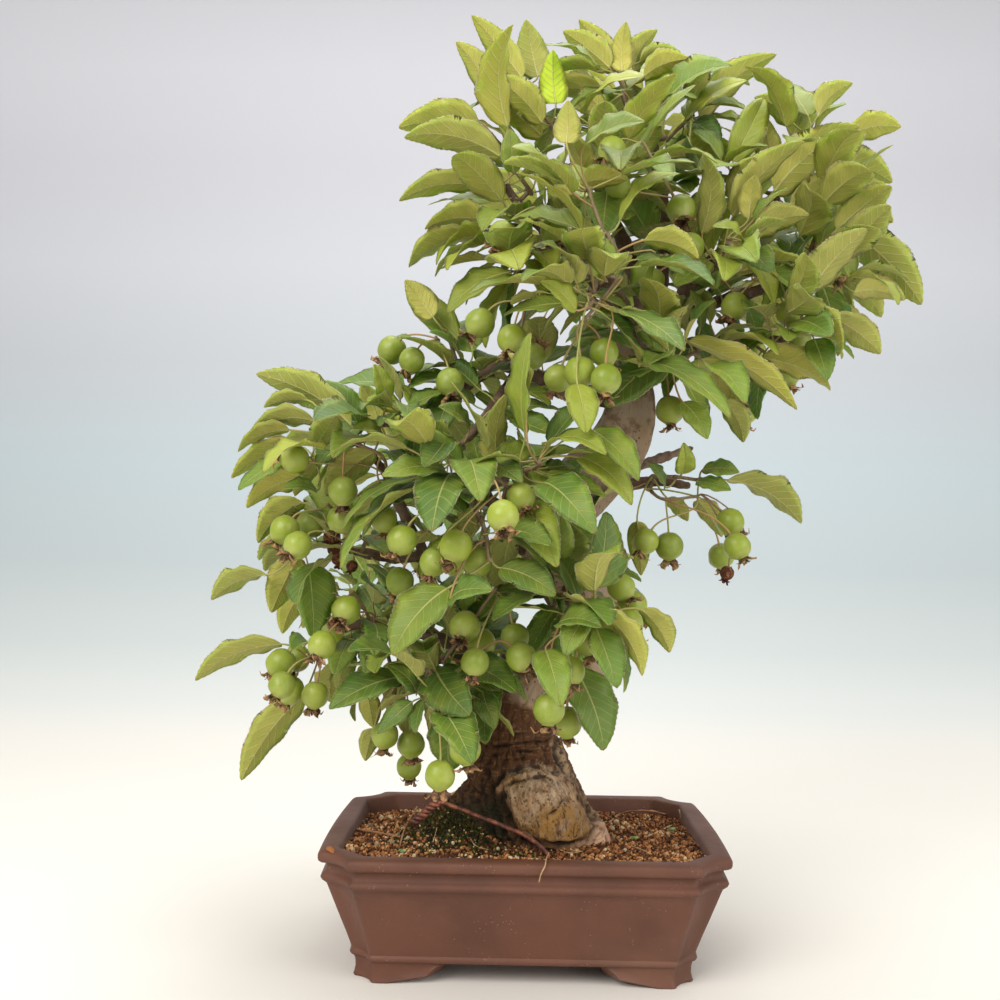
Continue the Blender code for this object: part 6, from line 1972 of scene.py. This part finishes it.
rng = random.Random(SPUR_SEED)
hosts = []
for line in (*limb_lines.values(), *spray_lines.values()):
    last = len(line) - 1
    for k in range(max(2, last // 5), last + 1):
        hosts.append((line[k], (line[min(k + 1, last)] - line[k - 1]).normalized()))
spurs = []
spur_leaf_count = 0
cad_box = (in_millimetres(cad_low), in_millimetres(cad_high))
for attempt in range(SPUR_TRIES):
    if spur_leaf_count >= MOST_SPUR_LEAVES:
        break
    place, tangent = rng.choice(hosts)
    way = Vector((rng.gauss(0, 1), rng.gauss(0, 1), rng.gauss(0.5, 0.8)))
    way = (way - tangent * way.dot(tangent)).normalized()
    seat = place + way * 0.5
    grown = []
    want_cover = attempt < SPUR_TRIES * 0.75
    for _ in range(rng.choice((1, 2, 3, 4))):
        stray = Vector((rng.gauss(0, 0.7), rng.gauss(0, 0.7), rng.gauss(0, 0.5)))
        leaf_way = (way * 0.55 + stray).normalized()
        stalk = rng.uniform(*SPUR_STALKS)
        base = seat + way * 3.0 + leaf_way * stalk
        axis = (leaf_way + Vector((0, 0, rng.uniform(-0.75, 0.15)))).normalized()
        length = rng.uniform(*SPUR_LEAF_LENGTHS)
        sun = Vector((rng.gauss(0, 0.35), rng.gauss(-0.35, 0.4), 1))
        up = (sun - axis * sun.dot(axis)).normalized()
        leaf = {"base": base, "tip": base + axis * length, "up": up,
                "half_width": length * SPUR_HALF_WIDTH * rng.uniform(0.85, 1.15),
                "fold": rng.uniform(0.1, 0.5), "twist": rng.uniform(-0.2, 0.2),
                "arch": rng.uniform(0.02, 0.12), "way": leaf_way}
        places, faces = plain_leaf(leaf)
        if any(not FOLIAGE_FRONT < spot.y < FOLIAGE_BACK or spot.z < 105 for spot in places):
            continue
        if any(not cad_box[0][axis_index] + 2 < spot[axis_index] < cad_box[1][axis_index] - 2
               for spot in places for axis_index in range(3)):
            continue
        if not all(inside_outline(pixel_of(spot), FOLIAGE_OUTLINE) for spot in places):
            continue
        cells = hidden_cells(leaf)
        if want_cover and len(cells - covered) < 0.3 * len(cells):
            continue
        if any(wood_tree.find_nearest(spot)[3] < 3.5 for spot in places):
            continue
        if standing.touches(places, faces):
            continue
        standing.add(places, faces)
        covered |= cells
        grown.append(leaf)
    if grown:
        spurs.append((place, way, grown))
        spur_leaf_count += len(grown)

spurs.sort(key=lambda spur: spur[0].z)
for index in range(4):
    seedling = Seedling()
    for place, way, grown in spurs[len(spurs) * index // 4:len(spurs) * (index + 1) // 4]:
        top = place + way * 3.0
        seedling.line([place - way * 0.8, place + way * 1.2, top],
                      [SPUR_RADIUS * 1.5, SPUR_RADIUS * 1.1, SPUR_RADIUS * 0.9], 0.1, 0.5)
        for leaf in grown:
            add_leaf(seedling, leaf, rng, 0.03, SPUR_OLDER)
            stalk = stalk_to(leaf, top - way * 0.6, (way + leaf["way"]).normalized(), 1.2, 5)
            seedling.line(stalk, STALK_RADIUS * 0.85, 0.9, rng.random() ** 2 * 0.8)
    piece = leaf_maker.grow(
        f"spur_leaves_{index + 1}", seedling.mesh("spur_leaves", LEAF_VALUES + LINE_VALUES),
        Leaf=small_leaf_shape, Blade_finish=blade.material, Twig_finish=twig.material, Stalk_sides=5,
        Ruffle=0.08,
    )
    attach(piece, "root")

# Floor, backdrop and light. A pale table runs up into a pale backdrop in one sweep, under
# large soft lamps, as in a plain studio.
STAGE_HALF_WIDTH = 2.4
STAGE_FRONT = -1.6
STAGE_BACK = 1.9
STAGE_HEIGHT = 2.6
SWEEP_RADIUS = 1.3
# Colours of the sweep by height, which paint light and shade over it: darker low on the wall and lighter
# towards its top.
STAGE_COLOURS = (
    (-0.008, (0.77, 0.725, 0.67)), (0.030, (0.635, 0.65, 0.635)), (0.097, (0.53, 0.57, 0.57)),
    (0.223, (0.46, 0.51, 0.53)), (0.427, (0.48, 0.55, 0.585)), (0.665, (0.53, 0.555, 0.595)),
    (0.910, (0.60, 0.62, 0.67)), (1.170, (0.625, 0.625, 0.68)), (1.400, (0.69, 0.69, 0.75)),
)
LAMPS = (
    ("key_lamp", (-1.1, -1.5, 1.5), 1.3, 40.0, (1.0, 0.97, 0.92)),
    ("fill_lamp", (1.5, -1.2, 0.9), 1.4, 20.0, (1.0, 0.98, 0.95)),
    ("top_lamp", (0.1, 0.25, 1.9), 1.5, 26.0, (1.0, 1.0, 0.98)),
)
LAMP_AIM = Vector((0.0, 0.0, 0.3))
WORLD_COLOUR = (0.95, 0.95, 0.92, 1)
WORLD_STRENGTH = 0.52

profile = [(STAGE_FRONT, 0.0), (STAGE_BACK - SWEEP_RADIUS, 0.0)]
for step in range(1, 17):
    turn = math.radians(90 * step / 16)
    profile.append((STAGE_BACK - SWEEP_RADIUS + SWEEP_RADIUS * math.sin(turn),
                    SWEEP_RADIUS - SWEEP_RADIUS * math.cos(turn)))
profile.append((STAGE_BACK, STAGE_HEIGHT))
stage_mesh = bpy.data.meshes.new("stage")
stage_mesh.from_pydata(
    [(side * STAGE_HALF_WIDTH, depth, height) for depth, height in profile for side in (-1, 1)], [],
    [(2 * k, 2 * k + 1, 2 * k + 3, 2 * k + 2) for k in range(len(profile) - 1)],
)
stage_mesh.shade_smooth()
paper = Finish("backdrop_paper")
_, _, rise = paper.parts_of(paper.where())
stage_steps = zip(STAGE_COLOURS, STAGE_COLOURS[1:])
# Painted light and shade on the sweep, stepped by height.
paper_colour = paper.layered(
    STAGE_COLOURS[0][1], *(((rise - low) / (high - low), colour) for (low, _), (high, colour) in stage_steps)
)
paper.give(paper_colour, 0.9)
stage_mesh.materials.append(paper.material)
stage = put_in_scene("stage", stage_mesh)
for name, spot, size, power, colour in LAMPS:
    lamp = put_in_scene(name, bpy.data.lights.new(name, "AREA"))
    lamp.data.size = size
    lamp.data.energy = power
    lamp.data.color = colour
    lamp.location = spot
    lamp.rotation_euler = (LAMP_AIM - Vector(spot)).to_track_quat("-Z", "Y").to_euler()
world = bpy.data.worlds.new("studio")
world.use_nodes = True
world.node_tree.nodes["Background"].inputs["Color"].default_value = WORLD_COLOUR
world.node_tree.nodes["Background"].inputs["Strength"].default_value = WORLD_STRENGTH
bpy.context.scene.world = world
bpy.context.scene.view_settings.view_transform = "Standard"
